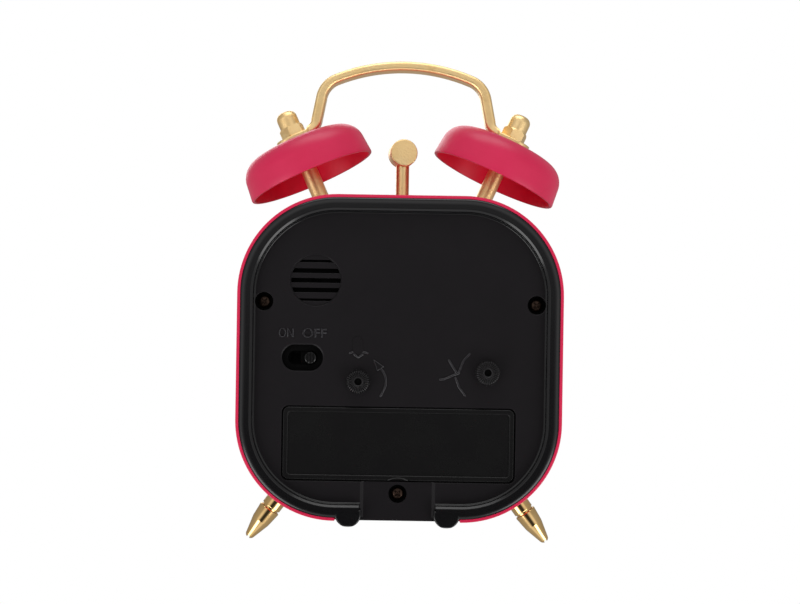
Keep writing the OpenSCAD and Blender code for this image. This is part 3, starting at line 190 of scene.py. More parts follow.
def windingFinish(name):
    mat, wire, shader, spot = newFinish(name, *winding["finish"])
    turns = wire.node("TexWave", {"wave_type": "BANDS", "bands_direction": "X"},
                      {"Vector": spot, "Scale": 1000 / winding["pitch"] / winding["perScale"],
                       "Distortion": winding["waver"]}, out=1)
    bump = wire.node("Bump", {}, {"Strength": winding["lift"], "Distance": grainDepth, "Height": turns})
    # dark between the turns and lighter on their crests: painted shade and painted highlight
    between, crest = [srgb(*tone) for tone in winding["finish"][:2]]
    wire.into(shader, {"Normal": bump, "Base Color": turns.mix(between, crest)})
    return mat


look["copperWire"] = windingFinish("copperWire")
print("finishes:", len(look))


def shift(x, y, z):
    return Matrix.Translation((x, y, z))


def spin(degrees, axis):
    return Matrix.Rotation(math.radians(degrees), 4, axis)


def ray(degrees):
    a = math.radians(degrees)
    return math.cos(a), math.sin(a)


corners = (1, 1), (-1, 1), (-1, -1), (1, -1)


def quarter(corner, steps):
    return [ray(90 * (corner + i / steps)) for i in range(steps + 1)]


# points given by their distances from one spot
def near(x, y, offsets):
    return [(x + dx, y + dy) for dx, dy in offsets]


# flat outlines in the case plane, lists of (x, z)
def box2d(width, height, radius, at=(0, 0), steps=6):
    points = []
    for k, (sx, sz) in enumerate(corners):
        cx = at[0] + sx * (width / 2 - radius)
        cz = at[1] + sz * (height / 2 - radius)
        points += [(cx + radius * c, cz + radius * s) for c, s in quarter(k, steps)]
    return points


# box with round ends
def pill2d(width, height, at):
    return box2d(width, height, height / 2 - 0.01, at, 12)


def arc(centre, radius, start, end, steps):
    turns = [ray(start + (end - start) * i / steps) for i in range(steps + 1)]
    return [(centre[0] + radius * c, centre[1] + radius * s) for c, s in turns]


def disc2d(radius, at=(0, 0), steps=48):
    return arc(at, radius, 0, 360, steps)[:-1]


# outline of a pen stroke with round ends
def stroke2d(points, width, roundEnd=60):
    points = [Vector(p) for p in points]
    left, right = [], []
    for i, p in enumerate(points):
        t = (points[min(i + 1, len(points) - 1)] - points[max(i - 1, 0)]).normalized()
        n = Vector((-t.y, t.x)) * width / 2
        left.append(p + n)
        right.append(p - n)
    ends = []
    for p, q in ((points[-1], points[-2]), (points[0], points[1])):
        a = math.degrees(math.atan2(p.y - q.y, p.x - q.x))
        ends.append(arc(p, width / 2, a - roundEnd, a + roundEnd, 4))
    return [tuple(p) for p in right] + ends[0] + [tuple(p) for p in reversed(left)] + ends[1]


# points that repeat are dropped, and the loop runs the way it is wanted
def tidyLoop(loop, clockwise, same=1e-4):
    points = []
    for p in loop:
        if not points or (Vector(p) - Vector(points[-1])).length > same:
            points.append(tuple(p))
    if (Vector(points[0]) - Vector(points[-1])).length < same:
        points.pop()
    area = sum(a[0] * b[1] - b[0] * a[1] for a, b in zip(points, points[1:] + points[:1]))
    return points[::-1] if (area < 0) != clockwise else points


# each point moves to the left of its loop, which is into the material; sharp corners are held back
def inset(loop, d, least=0.25):
    line = []
    for i, p in enumerate(loop):
        p, a, b = Vector(p), Vector(loop[i - 1]), Vector(loop[(i + 1) % len(loop)])
        e, f = (p - a).normalized(), (b - p).normalized()
        n, m = Vector((-e.y, e.x)), Vector((-f.y, f.x))
        line.append(tuple(p + (n + m) * d / max(1 + n.dot(m), least)))
    return line


# faces between rings of points that follow one another
def skin(bm, rings):
    n = len(rings[0])
    for a, b in zip(rings, rings[1:]):
        for i in range(n):
            bm.faces.new((a[i], a[(i + 1) % n], b[(i + 1) % n], b[i]))


# slab between two depths with holes; its rear edges are rounded, and taper draws the sides in
def plate(outer, holes, y0, y1, bevel=0.0, taper=0.0, lowBevel=0.0):
    steps = [(0, y0)]
    if lowBevel:
        steps = [(lowBevel * (1 - s), y0 + lowBevel * (1 - c)) for c, s in quarter(0, 2)]
    if bevel:
        steps += [(taper + bevel * (1 - c), y1 - bevel + bevel * s) for c, s in quarter(0, 4)]
    else:
        steps += [(taper, y1)]
    bm = bmesh.new()
    first, last = [], []
    for loop, clockwise in [(outer, False)] + [(h, True) for h in holes]:
        loop = tidyLoop(loop, clockwise)
        rings = [[bm.verts.new((x, y, z)) for x, z in (inset(loop, d) if d else loop)] for d, y in steps]
        skin(bm, rings)
        for ring, edges in ((rings[0], first), (rings[-1], last)):
            edges += [bm.edges.get(pair) for pair in zip(ring, ring[1:] + ring[:1])]
    for rim in (first, last):
        bmesh.ops.triangle_fill(bm, use_beauty=True, use_dissolve=False, edges=rim)
    return bm


# turned form: (radius, height) points round Z; a profile that doesn't start on the axis is a closed ring;
# a point may add how far the valleys between grip teeth lie in and down; sides picks a finish for each step
def lathe(profile, steps=72, sides=None):
    bm = bmesh.new()
    rings = []
    for r, h, *valley in profile:
        deepR, deepH = valley or (0, 0)
        if r < 1e-6:
            rings.append([bm.verts.new((0, 0, h))])
            continue
        ring = []
        for i in range(steps):
            a, low = 2 * math.pi * i / steps, i % 4 > 1
            reach = r - deepR * low
            ring.append(bm.verts.new((reach * math.cos(a), reach * math.sin(a), h - deepH * low)))
        rings.append(ring)
    pairs = list(zip(rings, rings[1:]))
    if len(rings[0]) > 1:
        pairs.append((rings[-1], rings[0]))
    for k, (a, b) in enumerate(pairs):
        for i in range(steps):
            j = (i + 1) % steps
            points = [a[0]] if len(a) == 1 else [a[i], a[j]]
            points += [b[0]] if len(b) == 1 else [b[j], b[i]]
            face = bm.faces.new(points)
            valley = i % 4 == 2 and len(profile[k]) > 2  # the bottoms between teeth take the near-black finish: painted shade
            face.material_index = 1 if valley else sides[k] if sides else 0
    return bm


# the same with flat ends that run in to the axis
def solid(line, steps=72):
    return lathe([(0, line[0][1]), *line, (0, line[-1][1])], steps)


# closed section carried round a rounded square; section points are (distance in from the outline, y)
def squareSweep(section, width, radius, steps=28):
    bm = bmesh.new()
    rings = []
    for k, (sx, sz) in enumerate(corners):
        cx, cz = sx * (width / 2 - radius), sz * (width / 2 - radius)
        for c, s in quarter(k, steps):
            rings.append([bm.verts.new((cx + (radius - d) * c, y, cz + (radius - d) * s)) for d, y in section])
    skin(bm, rings + rings[:1])
    return bm


def block(low, high):
    bm = bmesh.new()
    bmesh.ops.create_cube(bm, size=1)
    low, high = Vector(low), Vector(high)
    bm.transform(Matrix.Translation((low + high) / 2) @ Matrix.Diagonal((*(high - low), 1)))
    return bm


def moved(bm, matrix):
    bm.transform(matrix)
    return bm


def asMesh(name, bm):
    mesh = bpy.data.meshes.new(name)
    bm.to_mesh(mesh)
    bm.free()
    return mesh


def asObject(name, data):
    obj = bpy.data.objects.new(name, data)
    bpy.context.scene.collection.objects.link(obj)
    return obj


def evaluated(obj):
    bpy.context.view_layer.update()
    mesh = bpy.data.meshes.new_from_object(obj.evaluated_get(bpy.context.evaluated_depsgraph_get()))
    bm = bmesh.new()
    bm.from_mesh(mesh)
    bpy.data.meshes.remove(mesh)
    return bm


def together(*parts):
    whole = bmesh.new()
    for bm in parts:
        mesh = asMesh("blank", bm)
        whole.from_mesh(mesh)
        bpy.data.meshes.remove(mesh)
    return whole


def blank(bm):
    bmesh.ops.recalc_face_normals(bm, faces=bm.faces)
    return asObject("blank", asMesh("blank", bm))


# joins, cuts and trims closed blanks, one after the other
def machine(base, add=(), cut=(), keep=()):
    work = blank(base)
    tools = []
    for how, blanks in (("UNION", add), ("DIFFERENCE", cut), ("INTERSECT", keep)):
        for bm in blanks:
            step = work.modifiers.new("step", "BOOLEAN")
            step.operation = how
            step.solver = "MANIFOLD"
            step.object = blank(bm)
            tools.append(step.object)
    out = evaluated(work)
    for obj in (work, *tools):
        data = obj.data
        bpy.data.objects.remove(obj)
        bpy.data.meshes.remove(data)
    return out


# lettering fitted into a box of the case plane; rear side reads from behind, front side from the dial
def lettering(text, at, size, y0, y1, bevel, rear, thicken=0.0):
    curve = bpy.data.curves.new("letters", "FONT")
    curve.body = text
    curve.size = 10
    curve.offset = thicken
    curve.resolution_u = 8
    obj = asObject("letters", curve)
    flat = evaluated(obj)
    bpy.data.objects.remove(obj)
    bpy.data.curves.remove(curve)
    bmesh.ops.remove_doubles(flat, verts=flat.verts, dist=0.001)
    low = Vector([min(v.co[k] for v in flat.verts) for k in range(3)])
    high = Vector([max(v.co[k] for v in flat.verts) for k in range(3)])
    width = size[0] or size[1] * (high.x - low.x) / (high.y - low.y)
    side = -1 if rear else 1
    for v in flat.verts:
        x = ((v.co.x - low.x) / (high.x - low.x) - 0.5) * width * side + at[0]
        z = ((v.co.y - low.y) / (high.y - low.y) - 0.5) * size[1] + at[1]
        v.co = (x, y0, z)
    edge = [e for e in flat.edges if len(e.link_faces) == 1]
    normals = {}
    for e in edge:
        face = e.link_faces[0]
        mid = (e.verts[0].co + e.verts[1].co) / 2
        along = e.verts[1].co - e.verts[0].co
        n = Vector((-along.z, 0, along.x)).normalized()
        if n.dot(face.calc_center_median() - mid) < 0:
            n = -n
        for v in e.verts:
            normals.setdefault(v, []).append(n)
    made = bmesh.ops.extrude_face_region(flat, geom=list(flat.faces))
    top = [v for v in made["geom"] if isinstance(v, bmesh.types.BMVert)]
    spots = {tuple(round(c, 5) for c in v.co): ns for v, ns in normals.items()}
    for v in top:
        ns = spots.get(tuple(round(c, 5) for c in v.co), [])
        if ns:
            bend = 1 + ns[0].dot(ns[1]) if len(ns) > 1 else 1
            v.co = v.co + sum(ns, Vector()) / max(bend, 0.6) * bevel
        v.co.y = y1
    return flat


mending = 0.0004  # points closer than this are one
levelFrom = 0.9998  # how square to the depth a level face lies


# hands the finished piece over: frame units, crisp edges, finish, body and the solids it stands for; slot is not
# used
def place(name, bm, finish, body, slot, *nodes, crisp=32):
    bmesh.ops.remove_doubles(bm, verts=bm.verts, dist=mending)
    bmesh.ops.dissolve_degenerate(bm, edges=bm.edges, dist=mending)
    bmesh.ops.recalc_face_normals(bm, faces=bm.faces)
    loose = sum(1 for e in bm.edges if len(e.link_faces) != 2)
    bm.normal_update()
    level = {f: abs(f.normal.y) > levelFrom for f in bm.faces}  # these stay flat up to their rounded edges
    for f in bm.faces:
        f.smooth = True
    for e in bm.edges:
        sides = {level[f] for f in e.link_faces}
        e.smooth = len(sides) == 1 and e.calc_face_angle(0) < math.radians(crisp)
    bm.transform(clockFrame)
    mesh = asMesh(name, bm)
    obj = asObject(name, mesh)
    for each in finish if isinstance(finish, tuple) else (finish,):
        mesh.materials.append(look[each])
    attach(obj, body)
    if nodes:
        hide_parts(*nodes)
    print(f"{name}: {len(mesh.polygons)} faces, {loose} open edges")


def alongY(x, z):
    return shift(x, 0, z) @ spin(-90, "X")


# pressed sheet case: rolled front lip, plain rear edge, slot for the hammer's rod, gap for the rear feet
case = dict(
    width=96, corner=29.3, front=-21.745, back=21.75, sheet=0.9, lip=4.5, lipRound=2.2,
    lipBreak=(0.1, 0.12, 0.15), edgeRound=0.25, slot=(5.29, 2.6, 0.9), footGap=(18.5, 17.25))


def makeCase():
    t, r, e = case["sheet"], case["lipRound"], case["edgeRound"]
    front, back, lip = case["front"], case["back"], case["lip"]
    inBreak, outBreak, endBreak = case["lipBreak"]
    section = [(e - x, y) for x, y in arc((0, back - e), e, 0, 90, 3)] + [(t, back)]
    section += [(r - x, y) for x, y in arc((0, front + r), r - t, 0, -90, 10)]
    section += [(lip - inBreak, front + t), (lip, front + t - endBreak)]
    section += [(lip, front + endBreak), (lip - outBreak, front)]
    section += [(r - x, y) for x, y in arc((0, front + r), r, -90, 0, 14)]
    half, (slotX, slotY, slotRound), (gapX, gapY) = case["width"] / 2, case["slot"], case["footGap"]
    slot = plate(box2d(2 * slotX, 2 * slotY, slotRound), [], -half - 1, -half + 3)
    slot.transform(spin(-90, "X"))  # down through the top; cutters reach past the sheet
    gap = block((-gapX, gapY, -half - 2), (gapX, back + 2, 2 - half))
    shell = machine(squareSweep(section, case["width"], case["corner"]), cut=[slot, gap])
    place("caseShell", shell, "pinkPaint", "clock", "pink_paint", "case_shell")


makeCase()

# moulded rear cover: raised rim, sunk panel, grille, switch recess, screw wells, battery bay and two feet;
# recess and the pairs that end in Cut are the two depths of a cutter
cover = dict(
    width=94, corner=28.3, rimTop=22.25, rimWidth=3.75, outerRound=(1.7, 0.6), slope=(2.95, 3.65, 0.42),
    crest=((0, 0), (0.12, -0.03)), brow=((-0.1, 0.04), (0, -0.03)), wall=(-0.02, -0.3), wallFoot=0.6,
    hollow=(0.25, 0.42), step=((0.42, 0.14), (0.52, 0.07), (0.56, -0.05), (0.56, -0.3)), skirt=2.0,
    skirtEnd=13.25, panel=19.25, panelThick=2.0, panelIn=0.1, edge=0.28, lap=0.02, joinTop=17.6, polishShadeFrom=0.1)
screws = dict(
    spots=((40.3, 16.3), (-40.3, 16.3), (0, -40.0)), well=2.7, wellBit=(2.66, 20.2), bore=(1.2, 12), boss=3.7,
    bossEnd=13.0, seat=16.25, darkened=(2.69, 0.6), head=1.85, side=0.75, high=1.4, dome=(0.35, 0.7, 1.05, 1.3),
    shank=1.0, point=(0.6, 0.8), length=9.0, cross=(2.3, 0.46, 0.75), crossTurn=45, pit=(0.15, 0.3, 0.62, 0.3))
grille = dict(
    at=(25.1, 22.7), radius=7.55, seat=0.35, slot=1.35, slotIn=0.22, pitch=2.86, rows=(-2, -1, 0, 1, 2),
    sunk=0.4, edge=0.2, steps=72)
switch = dict(
    at=(28.7, -0.2), length=13.0, height=8.6, wall=1.2, under=15.85, chamfer=0.45, chamferCut=(-0.2, 0.02),
    chamferIn=0.04, recess=(17.05, 17.8), recessIn=0.1, window=(8.7, 4.1, 1.9), windowCut=(15, 17.5),
    darkened=(7, 5, 0.25), plate=(14.5, 15.7, 6.2, 6.0), plateRound=0.3, plateEdge=0.15, stem=(1, 1.5, 0.3),
    knobAt=26.4, knob=1.75, knobRoot=0.5, knobTop=18.85, knobEdge=((0, -0.35), (-0.1, -0.12), (-0.35, 0)),
    grooves=(0.9, 0.18, 0.42, 3))
door = dict(
    z=-25.4016, width=68.5, height=21.6, play=0.12, thick=1.6, corner=1.7, gap=0.25, border=1.6, borderRoot=0.3,
    borderEdge=0.24, sunk=0.4, fieldRound=0.85, bay=(60, 17, 1.2), bayCut=(15, 17.9), bayRound=0.3, bayLap=0.5,
    ledge=(15.85, 17.4), ledgeRound=0.6, hook=(20, 8), hookReach=1.9, latch=10, catchPlay=0.3,
    catchCut=(14.8, 17.65), scoop=(6, 1.2), scoopEdge=((-0.5, -0.8), (-0.15, -0.65), (0, -0.3), (0.1, 0.4)),
    hookTongue=(3.6, 0.3, -0.2, -1.45, -0.15, 0.2), hookNeck=(1.48, 0.1, -1.25, -0.4, 0.2, 0),
    latchTongue=(1.4, 0.3, 0.9, -1.3, 0.2, 0.25))
knobs = dict(
    alarm=(12.0998, -7.0423, 3.75), time=(-26.0111, -3.8874, 3.95), low=19.55, top=22.75, teeth=30, depth=0.36,
    face=0.84, hole=1.1, holeEnd=(1.95, 1.9), socket=(1.53, 1.63), shaftHole=1.8)
rearFeet = dict(x=14.5, radius=3.9, z=-45.9, root=-44.6, low=17.75, top=22.22, edge=0.5)
notch = dict(
    x=10.1, slope=1.0, slopeCut=1.12, high=-36.43, long=20, floor=18.85, draft=0.3, rounds=(0.3, 0.4),
    over=(0.05, 1), lip=(14.4, -48.0, -45.3), lipUnder=17.8, lipEdge=0.2)


# the first and last slots are half as high
def grilleSlot(row):
    reach, half = grille["radius"] - grille["slotIn"], grille["slot"] / (4 if abs(row) == 2 else 2)
    rows = [row * grille["pitch"] - half + 2 * half * i / 6 for i in range(7)]
    right = [(grille["at"][0] + math.sqrt(reach ** 2 - z * z), grille["at"][1] + z) for z in rows]
    left = [(2 * grille["at"][0] - x, z) for x, z in reversed(right)]
    return right + left


# opening in the ledge for a hook or the latch of the door
def catchHole(x, wide, z0, z1):
    half, (y0, y1) = wide / 2 + door["catchPlay"], door["catchCut"]
    return block((x - half, y0, z0), (x + half, y1, z1))


def coverRim():
    top, panel, w = cover["rimTop"], cover["panel"], cover["rimWidth"]
    under = panel - cover["panelThick"] - cover["lap"]
    broad, rise = cover["outerRound"]
    start, end, drop = cover["slope"]
    wallIn, wallDown = cover["wall"]
    hollow, hollowUp = cover["hollow"]
    section = [(0, cover["skirtEnd"])]
    section += [(broad * (1 - x), top - rise + rise * y) for x, y in arc((0, 0), 1, 0, 90, 10)]
    section += near(start, top, cover["crest"]) + near(end, top - drop, cover["brow"])
    section += [(w + wallIn, top - drop + wallDown), (w, panel + cover["wallFoot"])]
    section += [(w + hollow - hollow * math.cos(a), panel + hollowUp - hollow * math.sin(a))
                for a in (0.5, 1.0, 1.57)]
    section += near(w, panel, cover["step"])  # low step at the foot of the wall
    section += [(w + cover["step"][-1][0], under), (cover["skirt"], under), (cover["skirt"], cover["skirtEnd"])]
    return squareSweep(section, cover["width"], cover["corner"])


def makeCover():
    top, panel, lap, join = cover["rimTop"], cover["panel"], cover["lap"], cover["joinTop"]
    under, panelIn = panel - cover["panelThick"], cover["rimWidth"] + cover["panelIn"]
    inside = cover["width"] - 2 * panelIn
    at, spots, seat = switch["at"], screws["spots"], screws["seat"]
    inner = [side - 2 * switch["chamfer"] for side in (switch["length"], switch["height"])]
    gap, doorZ = door["gap"], door["z"]
    holes = [disc2d(screws["well"], spot, 40) for spot in spots]
    holes += [disc2d(grille["radius"], grille["at"], grille["steps"]), pill2d(*inner, at)]
    holes += [disc2d(knobs["shaftHole"], knobs[k][:2], 32) for k in ("alarm", "time")]
    holes += [box2d(door["width"] + 2 * gap, door["height"] + 2 * gap, door["corner"] + gap, (0, doorZ))]
    floor = plate(box2d(inside, inside, cover["corner"] - panelIn, steps=24), holes, under, panel,
                  cover["edge"])
    slots = [grilleSlot(k) for k in grille["rows"]]
    bars = plate(disc2d(grille["radius"] + grille["seat"], grille["at"], grille["steps"]), slots,
                 under - 2 * lap, panel - grille["sunk"], grille["edge"])

    bosses = together(*[plate(disc2d(screws["boss"], spot, 40), [], screws["bossEnd"], join) for spot in spots])
    (bore, boreEnd), (wellR, wellTop) = screws["bore"], screws["wellBit"]
    wellLine = [(bore, boreEnd), (bore, seat), (wellR, seat), (wellR, wellTop)]
    wells = together(*[moved(solid(wellLine, 40), alongY(*spot)) for spot in spots])
    wall = 2 * switch["wall"]
    cup = plate(pill2d(switch["length"] + wall, switch["height"] + wall, at), [], switch["under"], join)
    recess = plate(pill2d(*[side - switch["recessIn"] for side in inner], at), [], *switch["recess"])
    chamfer = plate(pill2d(*[side - switch["chamferIn"] for side in inner], at), [],
                    *[panel + y for y in switch["chamferCut"]], taper=-switch["chamfer"])
    window = plate(box2d(*switch["window"], at), [], *switch["windowCut"])

    bayWide, bayHigh, bayWall = door["bay"]
    rebate = [side + 2 * (gap + bayWall) for side in (door["width"], door["height"])]
    ledge = plate(box2d(*rebate, door["ledgeRound"], (0, doorZ)), [], *door["ledge"])
    bay = plate(box2d(bayWide, bayHigh, door["bayRound"], (0, doorZ)), [], *door["bayCut"])
    doorTop, doorLow = doorZ + door["height"] / 2, doorZ - door["height"] / 2
    bayTop, bayLow = doorZ + bayHigh / 2 - door["bayLap"], doorZ - bayHigh / 2 + door["bayLap"]
    hookX, hookWide = door["hook"]
    keyholes = together(*[catchHole(s * hookX, hookWide, bayTop, doorTop + door["hookReach"]) for s in (-1, 1)])
    latchHole = catchHole(0, door["latch"], doorLow - gap + lap / 2, bayLow)

    wide, mid = notch["x"] + notch["slope"], (0, notch["high"] - notch["long"] / 2)
    (lowRound, highRound), (lowOver, highOver) = notch["rounds"], notch["over"]
    mouth = [plate(box2d(2 * notch["x"], notch["long"], lowRound, mid), [], notch["floor"], panel + lowOver,
                   taper=-notch["slopeCut"]),
             plate(box2d(2 * wide, notch["long"], highRound, mid), [], panel, top + highOver,
                   taper=-notch["draft"])]
    footR, root = rearFeet["radius"], rearFeet["root"]
    sole = arc((0, rearFeet["z"]), footR, 180, 360, 28) + [(footR, root), (-footR, root)]
    feet = [plate([(s * rearFeet["x"] + x, z) for x, z in sole], [], rearFeet["low"], rearFeet["top"],
                  rearFeet["edge"]) for s in (-1, 1)]
    lipX, lipLow, lipTop = notch["lip"]
    lip = plate([(-lipX, lipLow), (lipX, lipLow), (lipX, lipTop), (-lipX, lipTop)], [],
                notch["lipUnder"], notch["floor"] - lap, notch["lipEdge"])
    table = block((-0.1, -0.1, -0.05), (0.1, 0.1, 0))  # in metres; the feet are flat where they meet it
    table.transform(clockFrame.inverted())

    body = machine(coverRim(), add=[floor, bars, bosses, cup, ledge, lip],
                   cut=[wells, recess, chamfer, window, bay, keyholes, latchHole, *mouth])
    body = machine(body, add=feet, cut=[table])
    (shadeX, shadeZ, shadeDown), (shadeR, wellDown) = switch["darkened"], screws["darkened"]
    for face in body.faces:  # rim polished and painted darker than the panel (painted shade), fine-grained panel, recess floor and wells painted near-black (painted shade)
        spot = face.calc_center_median()
        inRecess = abs(spot.x - at[0]) < shadeX and abs(spot.z - at[1]) < shadeZ and spot.y < panel - shadeDown
        inWell = any(math.hypot(spot.x - x, spot.z - z) < shadeR and spot.y < panel - wellDown for x, z in spots)
        polishedAndShaded = spot.y > panel + cover["polishShadeFrom"]
        face.material_index = 1 if inRecess or inWell else 2 if polishedAndShaded else 0
    place("rearCover", body, ("blackPlastic", "paintedShadeBlack", "rimGlossAndShade"), "clock", "black_plastic", "rear_cover",
          crisp=18)


makeCover()

# raised words and signs of the cover, thin moulded lines
marks = dict(
    line=0.5, root=0.1, high=0.32, edge=0.17, bold=0.15, stagger=0.03, bellDown=0.1, paintedHighlightFrom=0.96,
    words=(("ON", (33.6, 7.1), (4.4, 2.7)), ("OFF", (25.2, 7.1), (7.2, 2.7))),
    bell=[(14.6, 1.2), (13.9, 1.8), (13.86, 4.9), (13.4, 5.9), (12.4, 6.35), (11.5, 5.9), (10.95, 4.95),
        (10.8, 1.85), (9.6, 1.25)], clapper=[(13.4, 0.95), (12.2, 0.05), (11.0, 0.95)],
    flare=([(14.7, 1.35), (13.9, 1.6)], [(9.5, 1.4), (10.7, 1.65)]),
    arrow=[(7.7, -0.4), (4.6, -2.5), (6.5, -3.8)],
    turn=[(5.65, -3.0), (4.9, -3.8), (4.15, -5.25), (3.9, -6.65), (4.0, -8.05), (4.4, -9.2), (5.45, -11.2)],
    hands=([(-14.6, -0.35), (-15.9, -2.6), (-17.2, -4.3)], [(-12.1, -6.05), (-13.1, -5.95), (-17.6, -4.0)],
        [(-20.6, 1.55), (-18.9, -0.3), (-17.4, -4.2)], [(-16.6, -5.5), (-17.6, -8.2), (-19.4, -10.6)]))


def makeMarks():
    panel, edge, line = cover["panel"], marks["edge"], marks["line"]
    low, high = panel - marks["root"], panel + marks["high"]
    parts = [lettering(*word, low, high, edge, True, marks["bold"]) for word in marks["words"]]
    strokes = (marks["clapper"], *marks["flare"], marks["turn"])
    parts += [plate(stroke2d(bar, line), [], low, high, edge) for bar in strokes]
    parts.append(plate(marks["arrow"], [], low, high, edge))
    parts += [plate(stroke2d(bar, line), [], low, high - marks["stagger"] * k, edge)
              for k, bar in enumerate(marks["hands"])]  # staggered where the hands cross
    signs = together(*parts)
    bmesh.ops.recalc_face_normals(signs, faces=signs.faces)
    for face in signs.faces:  # the sides are painted lighter: painted highlight
        face.material_index = 1 if abs(face.normal.y) < marks["paintedHighlightFrom"] else 0
    signs = together(signs, plate(marks["bell"], [], low, high - marks["bellDown"], edge))
    place("coverMarks", signs, ("blackPlastic", "marksPaintedHighlight"), "clock", "black_plastic", crisp=20)


makeMarks()


# battery door: raised border, sunk field, finger scoop, two hooks above and a latch below;
# a tongue is given by its height, corner, place, two depths and lower edge
def makeDoor():
    panel, z, lap = cover["panel"], door["z"], cover["lap"]
    low, field = panel - door["thick"], panel - door["sunk"]
    sides = door["width"], door["height"]

    def tongue(x, wide, side, spec):
        high, corner, up, y0, y1, edge = spec
        return plate(box2d(wide, high, corner, (x, side + up)), [], low + y0, low + y1, lowBevel=edge)

    outline = box2d(*[side - 2 * door["play"] for side in sides], door["corner"], (0, z))
    within = box2d(*[side - 2 * door["border"] for side in sides], door["fieldRound"], (0, z))
    base = plate(outline, [], low, field - lap)
    border = plate(outline, [within], low + door["borderRoot"], panel, door["borderEdge"])
    doorTop, doorLow = z + door["height"] / 2, z - door["height"] / 2
    hookX, hookWide = door["hook"]
    grip = []
    for x in (-hookX, hookX):
        grip.append(tongue(x, hookWide, doorTop, door["hookTongue"]))
        grip.append(tongue(x, hookWide - lap, doorTop, door["hookNeck"]))
    grip.append(tongue(0, door["latch"], doorLow, door["latchTongue"]))
    scoopR, scoopRise = door["scoop"]
    scoop = moved(solid(near(scoopR, panel, door["scoopEdge"])), alongY(0, doorLow - scoopR + scoopRise))
    body = machine(base, add=[border, *grip], cut=[scoop])
    place("batteryDoor", body, "doorBlack", "door", "black_plastic", "battery_door", crisp=30)


makeDoor()


# setting knobs: coned grip teeth that run over onto the face, hole in the middle, socket for the shaft
def makeKnob(name, spot, body, node):
    x, z, r = spot
    y0, y1, hole, deep = knobs["low"], knobs["top"], knobs["hole"], knobs["depth"]
    face, (socketR, socketUp), (holeLow, holeEnd) = knobs["face"] * r, knobs["socket"], knobs["holeEnd"]
    under = [(0, y0 + socketUp), (socketR, y0 + socketUp), (socketR, y0)]
    ridge = [(r - 0.5, y0), (r - 0.1, y0 + 0.1, deep, 0), (r, y0 + 0.35, deep, 0),
             (face + 0.15, y1 - 0.4, deep, 0), (face, y1 - 0.12, deep, 0.2), (face - 0.25, y1, deep * 0.7, 0.5),
             (face * 0.66, y1 - 0.03, 0, 0.45)]
    mouth = [(hole + 0.4, y1 - 0.08, 0, 0.2), (hole + 0.15, y1 - 0.14)]
    bore = [(hole, y1 - 0.3), (hole, y0 + holeLow), (0, y0 + holeEnd)]
    # the bore takes the near-black finish: painted shade
    dark = [0] * len(under + ridge + mouth) + [1] * (len(bore) - 1)
    bm = lathe(under + ridge + mouth + bore, 4 * knobs["teeth"], dark)
    place(name, moved(bm, alongY(x, z)), ("glossBlack", "paintedShadeBlack"), body, "black_plastic", node, crisp=25)


makeKnob("alarmKnob", knobs["alarm"], "alarm_setting", "alarm_knob")
makeKnob("timeKnob", knobs["time"], "time_setting", "time_knob")


# switch slider: plate under the recess, round thumb knob with grip grooves
def makeSlider():
    x, z = switch["knobAt"], switch["at"][1]
    y0, y1, wide, high = switch["plate"]
    r, top = switch["knob"], switch["knobTop"]
    half, down, up = switch["stem"]
    pitch, groove, deep, reach = switch["grooves"]
    base = plate(box2d(wide, high, switch["plateRound"], (x, z)), [], y0, y1, switch["plateEdge"])
    stemBlock = block((x - half, y0 - down, z - half), (x + half, y0 + up, z + half))
    thumb = moved(solid([(r, y1 - switch["knobRoot"]), *near(r, top, switch["knobEdge"])], 48), alongY(x, z))
    cuts = together(*[block((mid - groove, top - deep, z - reach), (mid + groove, top + 1, z + reach))
                      for mid in (x - pitch, x, x + pitch)])
    slider = machine(base, add=[stemBlock, thumb], cut=[cuts])
    for face in slider.faces:  # what lies under the recess takes the near-black finish: painted shade
        face.material_index = 1 if face.calc_center_median().y < y1 + cover["lap"] else 0
    place("switchSlider", slider, ("doorBlack", "paintedShadeBlack"), "switch", "black_plastic", "switch_slider",
          crisp=40)


makeSlider()


# cross-head screws: low domed heads, tapered cross
def makeScrews():
    r, seat, side, high = screws["head"], screws["seat"], screws["side"], screws["high"]
    shank, end, top = screws["shank"], seat - screws["length"], seat + high
    (pointShare, pointLong), (long, thin, deep) = screws["point"], screws["cross"]
    pitDown, pitLow, pitWide, pitOver = screws["pit"]
    line = [(0, end), (shank * pointShare, end), (shank, end + pointLong), (shank, seat)]
    line += [(r, seat), (r, seat + side)]
    line += [(r * math.cos(a), seat + side + (high - side) * math.sin(a)) for a in screws["dome"]] + [(0, top)]
    pitLine = [(0, top - deep - pitDown), (pitLow, top - deep), (pitWide, top + pitOver), (0, top + pitOver)]
    parts = []
    for x, z in screws["spots"]:
        turn = shift(x, 0, z) @ spin(screws["crossTurn"], "Y") @ shift(-x, 0, -z)
        arms = [moved(block((x - a / 2, top - deep, z - b / 2), (x + a / 2, top + 1, z + b / 2)), turn)
                for a, b in ((long, thin), (thin, long))]
        head, pit = moved(lathe(line, 48), alongY(x, z)), moved(lathe(pitLine, 24), alongY(x, z))
        parts.append(machine(head, cut=[*arms, pit]))
    place("coverScrews", together(*parts), "darkBronze", "clock", "dark_screw", "cover_screws", crisp=35)


makeScrews()

# pressed bells: flared wall, round shoulder, flat crown under the handle's tab, mouth's edge broken, not sharp
bells = dict(
    at=(27.739, 55.3172), tilt=24.3, radius=20.0, high=12.6, wall=1.0, taper=5.5,
    lip=[(19.0, 0.12), (19.16, 0.0), (19.7, 0.0), (19.88, 0.14)], wallAt=(0.45, 2.2, 4.2), shoulder=6.3,
    middle=(13.1798, 5.1), crownEnd=82.07, flat=5.0, hole=2.05, steps=128)


def bellPlace(side):
    return shift(side * bells["at"][0], 0, bells["at"][1]) @ spin(side * bells["tilt"], "Y")


